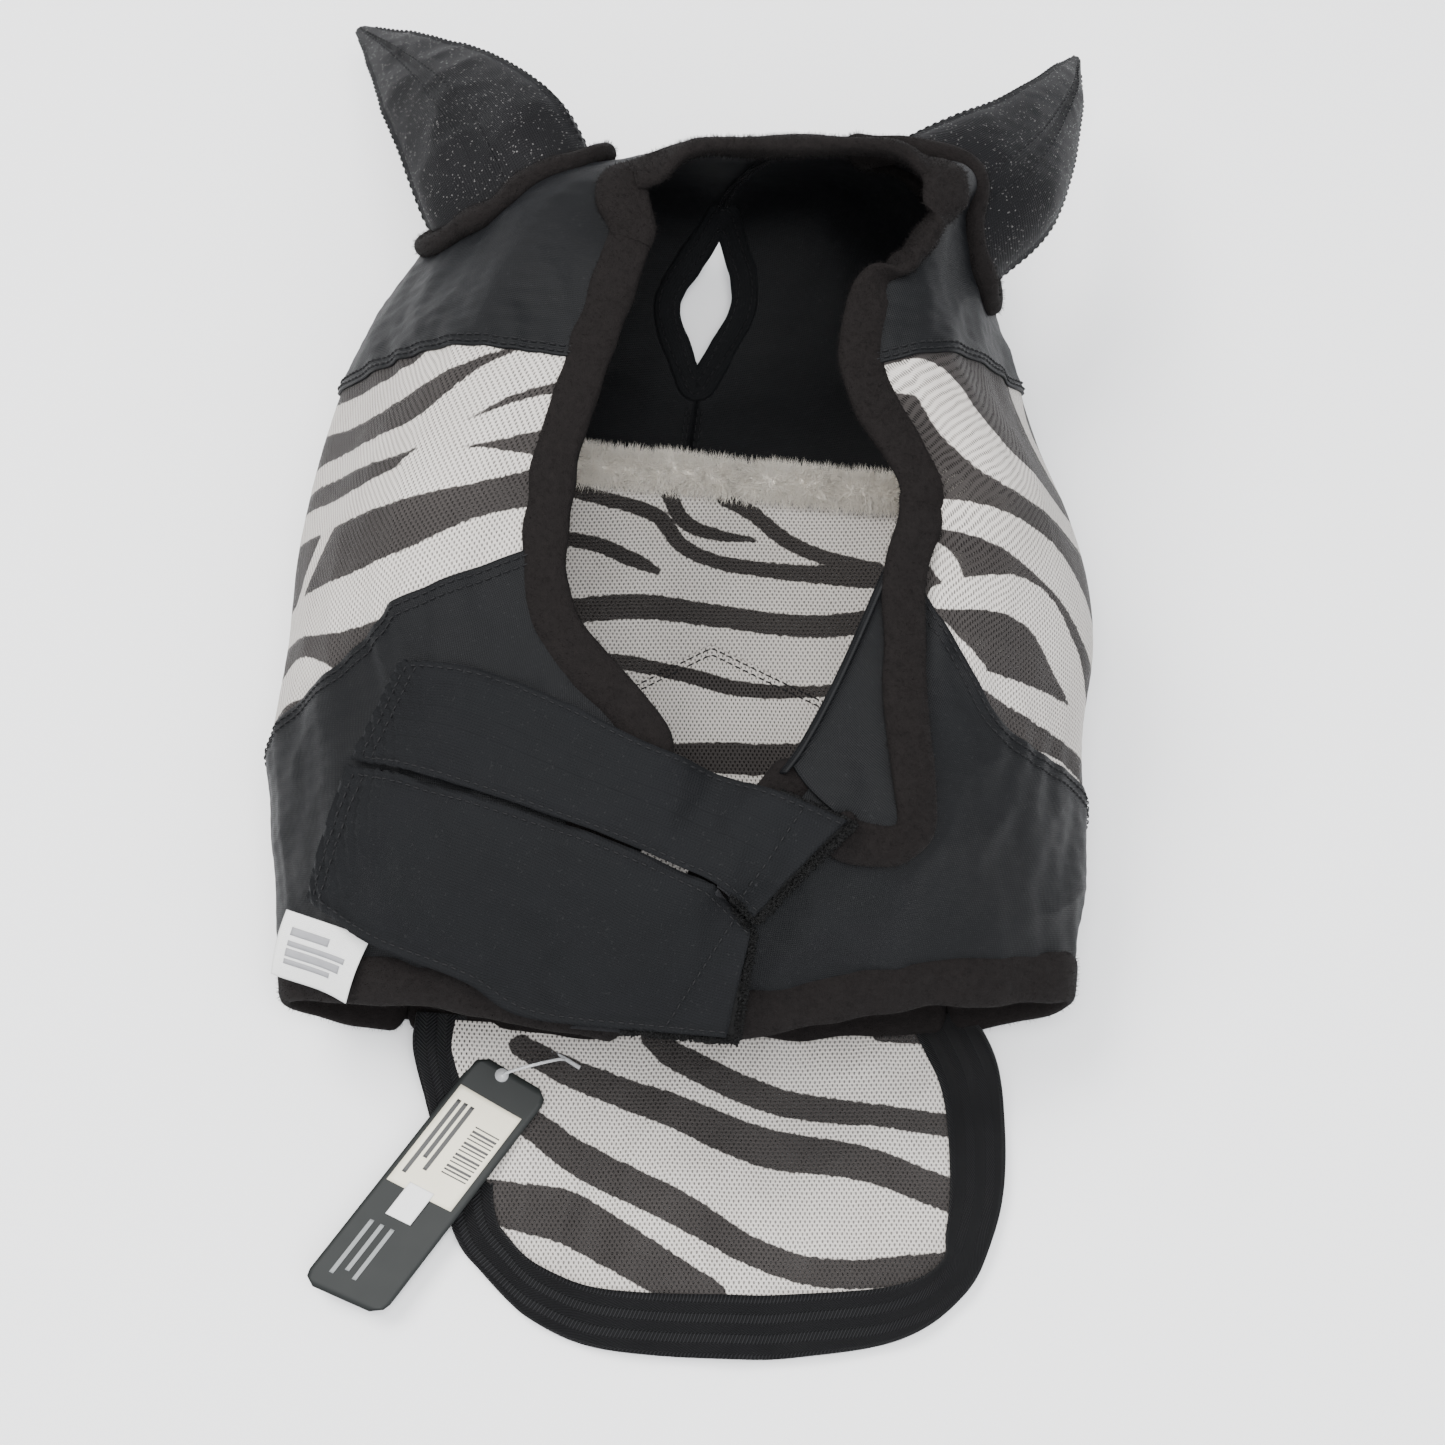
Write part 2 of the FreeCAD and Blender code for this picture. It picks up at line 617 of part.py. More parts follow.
# the clear fastener that holds the tag, a straight length of filament over the card's hole
fastener = doc.addObject("Part::Cylinder", "tag_fastener")
fastener.Label = "tag_fastener"
fastener.setExpression("Radius", "<<sizes>>.filament")
fastener.Height = 24
FASTENER_START, FASTENER_END = Vector(-65, -154, 6.4), Vector(-43, -146, 7.4)
fastener.Placement = Placement(FASTENER_START, Rotation(Vector(0, 0, 1), FASTENER_END - FASTENER_START))

# the woven size label, sewn by its top edge on the left cheek
half_label = ([(-0.5, "label_width")], [(0.5, "label_width")])
label = sketched_body("size_label", rectangle(*half_label, [(-1, "label_height")], [(0, "label_height")]), "label_thick")
label_place = placement_on(0.46, -0.60, Vector(29, -12, 2))
label_place.Base = at(0.46, -0.60, 2.4)
label.Placement = label_place

# ---------------------------------------------------------------- check and write
doc.recompute()
parts = [
    item for item in doc.Objects
    if item.TypeId in ("Part::Feature", "PartDesign::Body", "Part::Cylinder")
]
for item in doc.Objects:
    if "Invalid" in item.State or "Error" in item.State:
        raise RuntimeError(f"{item.Label} did not recompute: {item.State}")
os.makedirs("parts", exist_ok=True)
for item in parts:
    if item.Shape.isNull() or not item.Shape.isValid():
        raise RuntimeError(f"{item.Label} has no valid shape")
    if len(item.Shape.Solids) != 1:
        raise RuntimeError(f"{item.Label} has {len(item.Shape.Solids)} solids")
    item.Shape.exportStep(f"parts/{item.Label}.step")
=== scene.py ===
"""Looks of the pony fly mask: cloth panels, plush bindings, stitching, straps, ears, nose flap and tag.

The shell's surface is the one that the CAD part uses. shell(t, s) gives a point in metres: t counts ribs
from the muzzle hem (0) to the poll edge (9), s goes round a rib from the left rim (-1) to the right (1).
"""
import math

import bpy
import numpy as np
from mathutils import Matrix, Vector


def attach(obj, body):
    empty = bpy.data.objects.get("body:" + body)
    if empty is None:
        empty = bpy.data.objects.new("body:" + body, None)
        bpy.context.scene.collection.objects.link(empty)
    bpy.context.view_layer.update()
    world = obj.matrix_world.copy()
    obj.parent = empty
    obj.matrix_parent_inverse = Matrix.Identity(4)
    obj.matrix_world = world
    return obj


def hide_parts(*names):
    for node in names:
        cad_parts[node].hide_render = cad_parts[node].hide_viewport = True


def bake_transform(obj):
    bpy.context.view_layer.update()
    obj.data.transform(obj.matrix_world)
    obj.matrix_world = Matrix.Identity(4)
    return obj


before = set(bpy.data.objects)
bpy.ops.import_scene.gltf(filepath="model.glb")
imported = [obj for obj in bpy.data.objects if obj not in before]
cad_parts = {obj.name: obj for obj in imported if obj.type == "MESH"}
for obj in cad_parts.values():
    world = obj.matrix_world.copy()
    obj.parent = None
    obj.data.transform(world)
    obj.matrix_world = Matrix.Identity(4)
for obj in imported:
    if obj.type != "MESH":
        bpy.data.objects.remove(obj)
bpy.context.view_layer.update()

MM = 0.001

# ------------------------------------------------------------------ the shell's surface
# One rib a row, in mm: the middle of the face (x, y, z) and half its width; the widest places' y, their left
# and right x and their z; the left rim; the right rim.
RIBS = [
    ((-5, -136, 3), 88, (-132, -137, 128, 38), (-17, -157, 78), (-4, -158, 78)),
    ((-5, -95, 2), 94, (-90, -141, 131, 50), (-14, -112, 113), (-1, -113, 112)),
    ((-5, -50, 2), 96, (-48, -145, 135, 58), (-3, -70, 127), (36, -68, 123)),
    ((-5, -8, 2), 96, (-10, -140, 139, 60), (-37, -26, 131), (61, -18, 130)),
    ((-4, 35, 2), 92, (35, -136, 133, 60), (-38, 22, 134), (72, 18, 132)),
    ((-2, 85, 2), 84, (80, -126, 118, 60), (-28, 58, 137), (54, 55, 136)),
    ((4, 130, 6), 66, (112, -108, 105, 64), (-20, 85, 139), (57, 84, 138)),
    ((9, 172, 28), 46, (136, -84, 96, 82), (-16, 102, 140), (72, 98, 140)),
    ((20, 162, 84), 36, (140, -46, 92, 118), (-15, 112, 141), (80, 110, 141)),
    ((36, 132, 152), 30, (127, -5, 76, 145), (-14, 120, 142), (83, 120, 142)),
]
FACE_EDGE_LIFTS = [6, 6, 6, 6, 6, 6, 6, 4, 2, 0]
SHOULDER_OUT, SHOULDER_DROP = 0.55, 0.12
FACE = 0.25          # |s| where the flat front of the face ends
RIM = 0.985          # |s| of the cloth's edge, inside the binding
LOWEST = 0.0008      # nothing of the cloth lies lower than this, in metres


def rib_points(rib, lift):
    """The nine points of a rib in mm, from the left rim to the right one."""
    (x, y, z), half, (wide_y, left, right, wide_z), left_rim, right_rim = rib

    def side(rim, wide_x, face_x):
        rim, wide = np.array(rim, float), np.array((wide_x, wide_y, wide_z))
        out = rim + (wide - rim) * SHOULDER_OUT
        out[2] = rim[2] - SHOULDER_DROP * (rim[2] - wide[2])
        return [rim, out, wide, np.array((face_x, y, z + lift), float)]

    return side(left_rim, left, x - half) + [np.array((x, y, z), float)] + side(right_rim, right, x + half)[::-1]


def with_ends(grid):
    """The grid with one more row at each end, carried straight on."""
    return np.concatenate([2 * grid[:1] - grid[1:2], grid, 2 * grid[-1:] - grid[-2:-1]])


GRID = np.array([rib_points(rib, lift) for rib, lift in zip(RIBS, FACE_EDGE_LIFTS)]) * MM
PADDED = with_ends(with_ends(GRID).transpose(1, 0, 2)).transpose(1, 0, 2)


def catmull(at, count):
    """Which of count values a place is past, and the weights of the four values round it."""
    i = np.clip(np.floor(at).astype(int), 0, count - 2)
    f = at - i
    g, h = f * f, f * f * f
    return i, 0.5 * np.stack([2 * g - f - h, 2 - 5 * g + 3 * h, f + 4 * g - 3 * h, h - g], -1)


def shell(t, s):
    t, s = np.broadcast_arrays(np.asarray(t, float), np.asarray(s, float))
    i, wt = catmull(np.clip(t, 0, 9), 10)
    j, ws = catmull((np.clip(s, -1, 1) + 1) * 4, 9)
    point = np.zeros(t.shape + (3,))
    for a in range(4):
        for b in range(4):
            point += (wt[..., a] * ws[..., b])[..., None] * PADDED[i + a, j + b]
    return point


def unit(v):
    """The vectors with length 1."""
    return v / np.maximum(np.linalg.norm(v, axis=-1, keepdims=True), 1e-12)


def slopes(t, s):
    """The surface's directions along t and along s."""
    e = 0.01
    along = shell(np.minimum(t + e, 9), s) - shell(np.maximum(t - e, 0), s)
    across = shell(t, np.minimum(s + e, 1)) - shell(t, np.maximum(s - e, -1))
    return unit(along), unit(across)


def outward(t, s):
    """The surface's normals, away from the head."""
    along, across = slopes(t, s)
    return unit(np.cross(along, across))


# ------------------------------------------------------------------ folds and creases
def smooth(x, low, high):
    x = np.clip((x - low) / (high - low), 0, 1)
    return x * x * (3 - 2 * x)


def waves(points, scale, seed, count=8):
    """Smooth noise of about unit size: a sum of sines in seeded directions."""
    rng = np.random.default_rng(seed)
    total = np.zeros(points.shape[:-1])
    for _ in range(count):
        direction = unit(rng.normal(size=3))
        total += np.sin(points @ direction * scale * rng.uniform(0.6, 1.5) + rng.uniform(0, 6.28))
    return total * math.sqrt(2 / count)


def ridges(points, scale, seed):
    """Creases: 1 along them and lower between them."""
    return 1 - np.abs(waves(points, scale, seed))


def between(knots, at):
    """A smooth curve through (place, value) knots."""
    at = np.asarray(at, float)
    places = np.array([k[0] for k in knots], float)
    values = with_ends(np.array([k[1] for k in knots], float)[:, None])[:, 0]
    i = np.clip(np.searchsorted(places, at, side="right") - 1, 0, len(places) - 2)
    f = (at - places[i]) / (places[i + 1] - places[i])
    w = 0.5 * np.stack([-f + 2 * f**2 - f**3, 2 - 5 * f**2 + 3 * f**3, f + 4 * f**2 - 3 * f**3, f**3 - f**2], -1)
    return sum(w[..., k] * values[i + k] for k in range(4))


LEFT_CHEEK = [(0.25, 0.6), (0.40, 1.5), (0.50, 2.0), (0.65, 2.5), (0.75, 2.95), (1.0, 3.55)]
RIGHT_CHEEK = [(0.25, 0.5), (0.40, 1.25), (0.50, 1.6), (0.69, 1.95), (0.88, 2.8), (1.0, 3.3)]


def cheek_seam(s):
    s = np.asarray(s, float)
    return np.where(s < 0, between(LEFT_CHEEK, np.abs(s)), between(RIGHT_CHEEK, np.abs(s)))


def crown_seam(s):
    side = between([(0.0, 5.35), (0.25, 5.4), (0.50, 5.15), (0.75, 5.05), (1.0, 5.15)], np.abs(s))
    brow = brow_edge(s) + 0.20
    return brow + (side - brow) * smooth(np.abs(s), 0.20, 0.42)


def poll_seam(s):
    return between([(0.0, 8.84), (0.50, 8.72), (0.75, 8.35), (1.0, 7.55)], np.abs(s))


def brow_edge(s):
    """The line on the brow that the fleece and the crown cloth follow."""
    return 4.72 - 0.8 * s


def relief(t, s):
    """How far the cloth's folds stand out from the even shell, in metres."""
    t, s = np.broadcast_arrays(np.asarray(t, float), np.asarray(s, float))
    p = shell(t, s)
    wall = smooth(np.abs(s), 0.18, 0.42)
    held = 1 - 0.88 * smooth(np.abs(s), 0.86, 0.97)
    held = held * (0.35 + 0.65 * smooth(t, 0.1, 0.8)) * (1 - 0.8 * smooth(t, 8.2, 9.0))
    from_cheek = t - cheek_seam(np.where(np.abs(s) < FACE, FACE, s))
    cheek = 1 - smooth(from_cheek, -0.1, 0.25)
    crown = smooth(t - crown_seam(s), -0.15, 0.3)
    cloth = np.clip(cheek + crown, 0, 1)
    slack = waves(p, 48, 1) * 1.5
    folds = ridges(p * np.array([1.0, 0.6, 0.8]), 120, 2) * (0.35 + 0.65 * cloth)
    creases = ridges(p * np.array([1.0, 0.45, 0.8]), 260, 3) * 0.60 * (0.12 + 0.88 * cloth)
    fine = waves(p, 900, 4) * 0.10 * (0.3 + 0.7 * cloth)
    near_cheek = np.exp(-np.abs(from_cheek) / 0.35)
    near_crown = np.exp(-np.abs(t - crown_seam(s)) / 0.3)
    gather = np.sin(p[..., 0] * 520 + 2.2 * waves(p, 90, 5)) * 0.55 * np.clip(near_cheek + near_crown, 0, 1)
    gather += np.sin(s * 95 + 2.0 * waves(p, 60, 6)) * 0.6 * np.exp(-t / 0.5)
    return (slack + folds + creases + fine + gather) * held * (0.25 + 0.75 * wall) * MM


def skin(t, s, out=0.0):
    """A point of the cloth, out metres outside it."""
    point = shell(t, s) + outward(t, s) * (relief(t, s) + out)[..., None]
    point[..., 2] = np.maximum(point[..., 2], LOWEST)
    return point


# ------------------------------------------------------------------ mesh helpers
def grid_faces(rows, columns, closed=False):
    """Quads of a grid whose points are numbered row by row."""
    faces = []
    for i in range(rows - 1):
        for j in range(columns if closed else columns - 1):
            k = (j + 1) % columns
            faces.append((i * columns + j, i * columns + k, (i + 1) * columns + k, (i + 1) * columns + j))
    return faces


def flipped(faces):
    return [face[::-1] for face in faces]


def two_ways(rows, columns, along=(0, 1), across=(0, 1)):
    """Two numbers for each point of a grid: one that changes from row to row, one along a row."""
    return np.meshgrid(np.linspace(*along, rows), np.linspace(*across, columns), indexing="ij")


def full_turn(count):
    return np.linspace(0, 2 * math.pi, count, endpoint=False)


def repeated(vector, count):
    return np.tile(np.array(vector, float), (count, 1))


def quad(corners, a, b):
    """Points of a sheet with four corners; a goes from 0 to 1 along it and b across it."""
    weights = (1 - a) * (1 - b), (1 - a) * b, a * b, a * (1 - b)
    return sum(w[..., None] * corner for w, corner in zip(weights, corners))


def lengths(grid):
    """Distances along the rows and the columns of a grid of points, as UV in metres."""
    across = np.zeros(grid.shape[:2])
    along = np.zeros(grid.shape[:2])
    across[:, 1:] = np.cumsum(np.linalg.norm(np.diff(grid, axis=1), axis=-1), axis=1)
    along[1:, :] = np.cumsum(np.linalg.norm(np.diff(grid, axis=0), axis=-1), axis=0)
    middle = across[:, across.shape[1] // 2:across.shape[1] // 2 + 1]
    return np.stack([across - middle, along], -1)


def thicken(piece, thick):
    """Gives a sheet its thickness, on the side away from its normals, as part of its mesh."""
    modifier = piece.modifiers.new("thickness", "SOLIDIFY")
    modifier.thickness = thick
    modifier.offset = -1.0
    modifier.use_even_offset = False
    bpy.context.view_layer.update()
    graph = bpy.context.evaluated_depsgraph_get()
    final = bpy.data.meshes.new_from_object(
        piece.evaluated_get(graph), preserve_all_data_layers=True, depsgraph=graph)
    piece.modifiers.clear()
    piece.data = final
    return piece


def make_object(name, points, faces, material, uvs=None, thick=None, stripe=None):
    """A smooth mesh object; with thick, a sheet that is thick metres through."""
    mesh = bpy.data.meshes.new(name)
    mesh.from_pydata(points.reshape(-1, 3).tolist(), [], faces)
    if uvs is not None:
        layer = mesh.uv_layers.new(name="cloth")
        index = np.empty(len(mesh.loops), dtype=np.int32)
        mesh.loops.foreach_get("vertex_index", index)
        layer.data.foreach_set("uv", uvs.reshape(-1, 2)[index].astype(np.float32).ravel())
    if stripe is not None:
        attribute = mesh.attributes.new("stripe", "FLOAT", "POINT")
        attribute.data.foreach_set("value", np.asarray(stripe, dtype=np.float32).ravel())
    mesh.materials.append(material)
    mesh.polygons.foreach_set("use_smooth", np.ones(len(mesh.polygons), dtype=bool))
    mesh.update()
    piece = bpy.data.objects.new(name, mesh)
    bpy.context.scene.collection.objects.link(piece)
    return thicken(piece, thick) if thick else piece


def tube(path, side, up, half_side, half_up, count, power, lump=0.0, seed=0, closed=False):
    """Points, faces and UVs of a padded strip along a path. Its section is an oval with soft corners."""
    angle = full_turn(count)
    x, y = (np.sign(c) * np.abs(c)**(2 / power) for c in (np.cos(angle), np.sin(angle)))
    half_side, half_up = (np.broadcast_to(half, (len(path),)) for half in (half_side, half_up))
    points = (path[:, None]
              + side[:, None] * (x[None, :, None] * half_side[:, None, None])
              + up[:, None] * (y[None, :, None] * half_up[:, None, None]))
    if lump:
        push = unit(points - path[:, None])
        points = points + push * (waves(points, 260, seed) * lump)[..., None]
    points[..., 2] = np.maximum(points[..., 2], 0.0003)
    rows = len(path)
    faces = grid_faces(rows, count, closed=True)
    if closed:
        faces += [((rows - 1) * count + j, (rows - 1) * count + (j + 1) % count, (j + 1) % count, j)
                  for j in range(count)]
    uvs = lengths(points)
    points, uvs = points.reshape(-1, 3), uvs.reshape(-1, 2)
    if not closed:
        faces += [tuple(range(count))[::-1], tuple((rows - 1) * count + j for j in range(count))]
    return points, faces, uvs


def fibres(points, faces, count, length, width, seed, lean):
    """Fine hairs on a surface: three points and one face each."""
    rng = np.random.default_rng(seed)
    quads = np.array([f for f in faces if len(f) == 4])
    a, b, c, d = (points[quads[:, k]] for k in range(4))
    normal = np.cross(c - a, d - b)
    area = np.linalg.norm(normal, axis=1)
    pick = rng.choice(len(quads), count, p=area / area.sum())
    u, v = rng.random((2, count, 1))
    root = (a[pick] * (1 - u) + b[pick] * u) * (1 - v) + (d[pick] * (1 - u) + c[pick] * u) * v
    up = unit(normal[pick])
    aim = unit(up + rng.normal(size=(count, 3)) * lean)
    size = length * rng.uniform(0.45, 1.0, (count, 1))
    across = unit(np.cross(aim, rng.normal(size=(count, 3)))) * width / 2
    bend = unit(np.cross(aim, across)) * size * rng.uniform(-0.3, 0.3, (count, 1))
    hair = np.stack([root - across - up * width, root + across - up * width, root + aim * size + bend], 1)
    return hair.reshape(-1, 3), [(3 * k, 3 * k + 1, 3 * k + 2) for k in range(count)]


def join(parts):
    """One set of points, faces and UVs from several. A part without UVs takes its x and y for them."""
    points, faces, uvs, start = [], [], [], 0
    for part in parts:
        points.append(part[0].reshape(-1, 3))
        faces += [tuple(start + k for k in face) for face in part[1]]
        uvs.append(part[2].reshape(-1, 2) if len(part) > 2 else points[-1][:, :2])
        start += len(points[-1])
    return np.concatenate(points), faces, np.concatenate(uvs)


def lengths_so_far(path):
    return np.concatenate([[0], np.cumsum(np.linalg.norm(np.diff(path, axis=0), axis=1))])


def at_length(at, far, rows):
    """Rows of numbers read at some lengths along a path."""
    return np.stack([np.interp(at, far, column) for column in rows.T], -1)


def resample(path, count):
    """Evenly spaced points along a polyline."""
    far = lengths_so_far(path)
    return at_length(np.linspace(0, far[-1], count), far, path)


def curve_through(points, per=12):
    """A smooth curve through rows of numbers."""
    points = np.asarray(points, float)
    padded = with_ends(points)
    at = np.linspace(0, len(points) - 1, (len(points) - 1) * per + 1)
    i, w = catmull(at, len(points))
    return sum(w[:, k, None] * padded[i + k] for k in range(4))


def stands_for(piece, nodes):
    """Hides the CAD nodes that the piece stands for."""
    if nodes:
        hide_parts(*nodes)
    return piece


def place(piece, body, slot, *nodes):
    """The piece rides on one body."""
    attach(piece, body)
    return stands_for(piece, nodes)


def hang(piece, body, start, end, slot, *nodes):
    """The piece is sewn to the shell; its transform is baked into its mesh and the CAD nodes that it stands for are
    hidden.
    """
    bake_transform(piece)
    return stands_for(piece, nodes)


# ------------------------------------------------------------------ materials
class Finish:
    """A node material with short names for the nodes that it is made of."""

    def __init__(self, name):
        self.material = bpy.data.materials.new(name)
        self.material.use_nodes = True
        self.tree = self.material.node_tree
        self.bsdf = self.tree.nodes["Principled BSDF"]

    def node(self, kind, inputs=None, **settings):
        made = self.tree.nodes.new(kind)
        for key, value in settings.items():
            setattr(made, key, value)
        for key, value in (inputs or {}).items():
            self.feed(made.inputs[key], value)
        return made

    def feed(self, socket, value):
        if isinstance(value, bpy.types.NodeSocket):
            self.tree.links.new(value, socket)
        else:
            socket.default_value = value

    def set(self, **inputs):
        for key, value in inputs.items():
            self.feed(self.bsdf.inputs[key.replace("_", " ")], value)
        return self

    def calc(self, operation, a, b=0.0, c=0.0):
        made = self.node("ShaderNodeMath", operation=operation, use_clamp=False)
        for socket, value in zip(made.inputs, (a, b, c)):
            self.feed(socket, value)
        return made.outputs[0]

    def line(self, a, slope, start):
        return self.calc("MULTIPLY_ADD", a, slope, start)

    def times(self, a, b):
        return self.calc("MULTIPLY", a, b)

    def plus(self, a, b):
        return self.calc("ADD", a, b)

    def mix(self, factor, a, b):
        made = self.node("ShaderNodeMix", data_type="RGBA")
        self.feed(made.inputs[0], factor)
        for k, colour in ((6, a), (7, b)):
            self.feed(made.inputs[k], (*colour, 1) if isinstance(colour, tuple) else colour)
        return made.outputs[2]

    def noise(self, scale, detail=3.0, rough=0.55):
        return self.node("ShaderNodeTexNoise", {"Scale": scale, "Detail": detail, "Roughness": rough,
                                                "Vector": self.place()}).outputs["Fac"]

    def place(self):
        return self.node("ShaderNodeTexCoord").outputs["Object"]

    def cloth(self):
        """UV across and along the cloth, in metres."""
        split = self.node("ShaderNodeSeparateXYZ")
        self.tree.links.new(self.node("ShaderNodeUVMap", uv_map="cloth").outputs["UV"], split.inputs[0])
        return split.outputs[0], split.outputs[1]

    def wave(self, at, pitch, shift=0.0):
        """From 0 to 1 and back once every pitch."""
        turned = self.line(at, 2 * math.pi / pitch, shift)
        return self.line(self.calc("SINE", turned), 0.5, 0.5)

    def ramp(self, value, low, high):
        return self.node("ShaderNodeMapRange", {"Value": value, "From Min": low, "From Max": high},
                         interpolation_type="SMOOTHSTEP").outputs["Result"]

    def attribute(self, name):
        return self.node("ShaderNodeAttribute", attribute_name=name).outputs["Fac"]

    def bump(self, height, strength, distance):
        made = self.node("ShaderNodeBump", {"Strength": strength, "Distance": distance, "Height": height})
        return self.set(Normal=made.outputs["Normal"])

    def sheen(self, weight, rough, tint=(1, 1, 1), gloss=0.14):
        return self.set(Specular_IOR_Level=gloss, Sheen_Weight=weight, Sheen_Roughness=rough, Sheen_Tint=(*tint, 1))


def knit(finish, across_pitch, along_pitch):
    """The holes and the rows of an open knit: two masks from 0 to 1."""
    u, v = finish.cloth()
    drift = finish.times(finish.calc("SUBTRACT", finish.noise(160, 2.0), 0.5), 0.0009)
    u, v = finish.plus(u, drift), finish.plus(v, drift)
    a = finish.line(finish.wave(u, across_pitch), 2.0, -1.0)
    b = finish.line(finish.wave(v, along_pitch), 2.0, -1.0)
    holes = finish.ramp(finish.times(a, b), 0.18, 0.62)
    rows = finish.wave(v, along_pitch / 2)
    return holes, rows


def zebra_finish(name):
    f = Finish(name)
    edge = f.plus(f.attribute("stripe"), f.times(f.calc("SUBTRACT", f.noise(420, 2.0), 0.5), 1.6))
    white = f.ramp(edge, -0.28, 0.28)
    holes, rows = knit(f, 0.0017, 0.0028)
    mottle = f.noise(35, 4.0)
    light = f.mix(mottle, (0.43, 0.40, 0.37), (0.58, 0.55, 0.515))
    dark = f.mix(mottle, (0.022, 0.0195, 0.0185), (0.046, 0.041, 0.039))
    colour = f.mix(white, dark, light)
    shade = f.times(f.line(holes, -0.50, 1.0), f.line(rows, 0.16, 0.88))
    scaled = f.node("ShaderNodeVectorMath", {0: colour, "Scale": shade}, operation="SCALE")
    see = f.line(holes, -0.55, 1.0)
    f.set(Base_Color=scaled.outputs[0], Roughness=0.8, Alpha=see)
    height = f.calc("SUBTRACT", f.times(rows, 0.5), holes)
    return f.sheen(0.05, 0.4).bump(height, 0.55, 0.0004).material


COLD = 0.8, 0.85, 1.0        # the tint of a black cloth's sheen


def black_finish(name, low, high, rough, pitch, sheen):
    """Smooth black woven cloth."""
    f = Finish(name)
    u, v = f.cloth()
    weave = f.times(f.wave(u, pitch), f.wave(v, pitch))
    mottle = f.noise(60, 5.0)
    dust = f.ramp(f.noise(900, 2.0), 0.62, 0.75)
    colour = f.mix(mottle, low, high)
    colour = f.mix(f.times(dust, 0.12), colour, (0.05, 0.05, 0.05))
    f.set(Base_Color=colour, Roughness=f.line(mottle, 0.2, rough))
    height = f.plus(weave, f.times(f.noise(240, 4.0), 1.2))
    return f.sheen(sheen, 0.35, COLD, 0.12).bump(height, 0.5, 0.0003).material


def pile_finish(name, low, high, scale, sheen, depth=0.0009):
    """Plush, fleece or brushed cloth: a fine uneven pile."""
    f = Finish(name)
    coarse, fine = f.noise(scale * 0.22, 4.0), f.noise(scale, 3.0, 0.7)
    colour = f.mix(f.line(coarse, 0.6, f.times(fine, 0.4)), low, high)
    f.set(Base_Color=colour, Roughness=0.95)
    return f.sheen(sheen, 0.5, high).bump(f.plus(fine, f.times(coarse, 1.5)), 0.8, depth).material


def glitter_finish(name):
    """The ears' fine black mesh with a glint in it."""
    f = Finish(name)
    cells = f.node("ShaderNodeTexVoronoi", {"Vector": f.place(), "Scale": 2200})
    chosen = f.node("ShaderNodeSeparateColor", {"Color": cells.outputs["Color"]})
    spark = f.calc("GREATER_THAN", chosen.outputs[0], 0.965)
    u, v = f.cloth()
    mesh = f.times(f.wave(u, 0.0010), f.wave(v, 0.0010))
    mottle = f.noise(50, 4.0)
    colour = f.mix(mottle, (0.0022, 0.0022, 0.0026), (0.0064, 0.0064, 0.0072))
    colour = f.mix(f.times(spark, chosen.outputs[1]), colour, (0.10, 0.097, 0.094))
    f.set(Base_Color=colour, Roughness=f.line(spark, -0.25, 0.6))
    f.set(Alpha=f.line(f.ramp(mesh, 0.55, 0.9), -0.05, 1.0))
    height = f.plus(mesh, f.times(spark, 0.6))
    return f.sheen(0.01, 0.3, COLD, 0.11).bump(height, 0.6, 0.0003).material


def webbing_finish(name):
    """Herringbone webbing: slanting ribs that turn back in each lane."""
    f = Finish(name)
    u, v = f.cloth()
    lane = f.calc("PINGPONG", u, 0.0034)
    slant = f.plus(v, lane)
    ribs = f.wave(slant, 0.0013)
    valley = f.ramp(f.calc("ABSOLUTE", f.calc("SUBTRACT", lane, 0.0017)), 0.0013, 0.0017)
    mottle = f.noise(90, 3.0)
    top = f.mix(mottle, (0.0090, 0.0090, 0.0098), (0.0165, 0.0165, 0.0178))
    # painted shade: the grooves between the ribs are painted darker than the rib tops
    colour = f.mix(ribs, (0.0030, 0.0030, 0.0033), top)
    f.set(Base_Color=colour, Roughness=0.62)
    height = f.calc("SUBTRACT", ribs, f.times(valley, 0.7))
    return f.sheen(0.03, 0.3).bump(height, 0.9, 0.0006).material


def plain_finish(name, low, high, rough, scale=200.0, depth=0.0001, **more):
    f = Finish(name)
    mottle = f.noise(scale, 4.0)
    f.set(Base_Color=f.mix(mottle, low, high), Roughness=f.line(mottle, 0.15, rough), **more)
    return f.bump(mottle, 0.3, depth).material


ZEBRA = zebra_finish("zebra_mesh")
NYLON = black_finish("black_nylon", (0.0024, 0.0026, 0.0030), (0.0062, 0.0066, 0.0074), 0.46, 0.0007, 0.010)
STRAP = black_finish("strap_cloth", (0.0034, 0.0037, 0.0042), (0.0072, 0.0076, 0.0085), 0.70, 0.0010, 0.010)
PLUSH = pile_finish("plush", (0.0030, 0.0025, 0.0024), (0.0125, 0.0102, 0.0098), 1500, 0.05)
FLEECE = pile_finish("fleece", (0.68, 0.61, 0.50), (0.97, 0.94, 0.88), 900, 0.3, 0.0018)
EAR_MESH = glitter_finish("ear_mesh")
WEBBING = webbing_finish("webbing")
HOOK = pile_finish("hook_tape", (0.006, 0.006, 0.006), (0.022, 0.022, 0.022), 2600, 0.05)
LOOP = pile_finish("loop_tape", (0.008, 0.008, 0.009), (0.026, 0.026, 0.028), 2000, 0.1)
THREAD = plain_finish("thread", (0.004, 0.004, 0.0045), (0.010, 0.010, 0.011), 0.6, 3000,
                      Specular_IOR_Level=0.2)
SATIN = black_finish("label_satin", (0.66, 0.66, 0.64), (0.80, 0.80, 0.78), 0.33, 0.0006, 0.1)
INK = plain_finish("label_ink", (0.20, 0.20, 0.21), (0.30, 0.30, 0.31), 0.6)
CARD = plain_finish("tag_card", (0.009, 0.0105, 0.010), (0.014, 0.016, 0.0155), 0.5, 90,
                    Specular_IOR_Level=0.25)
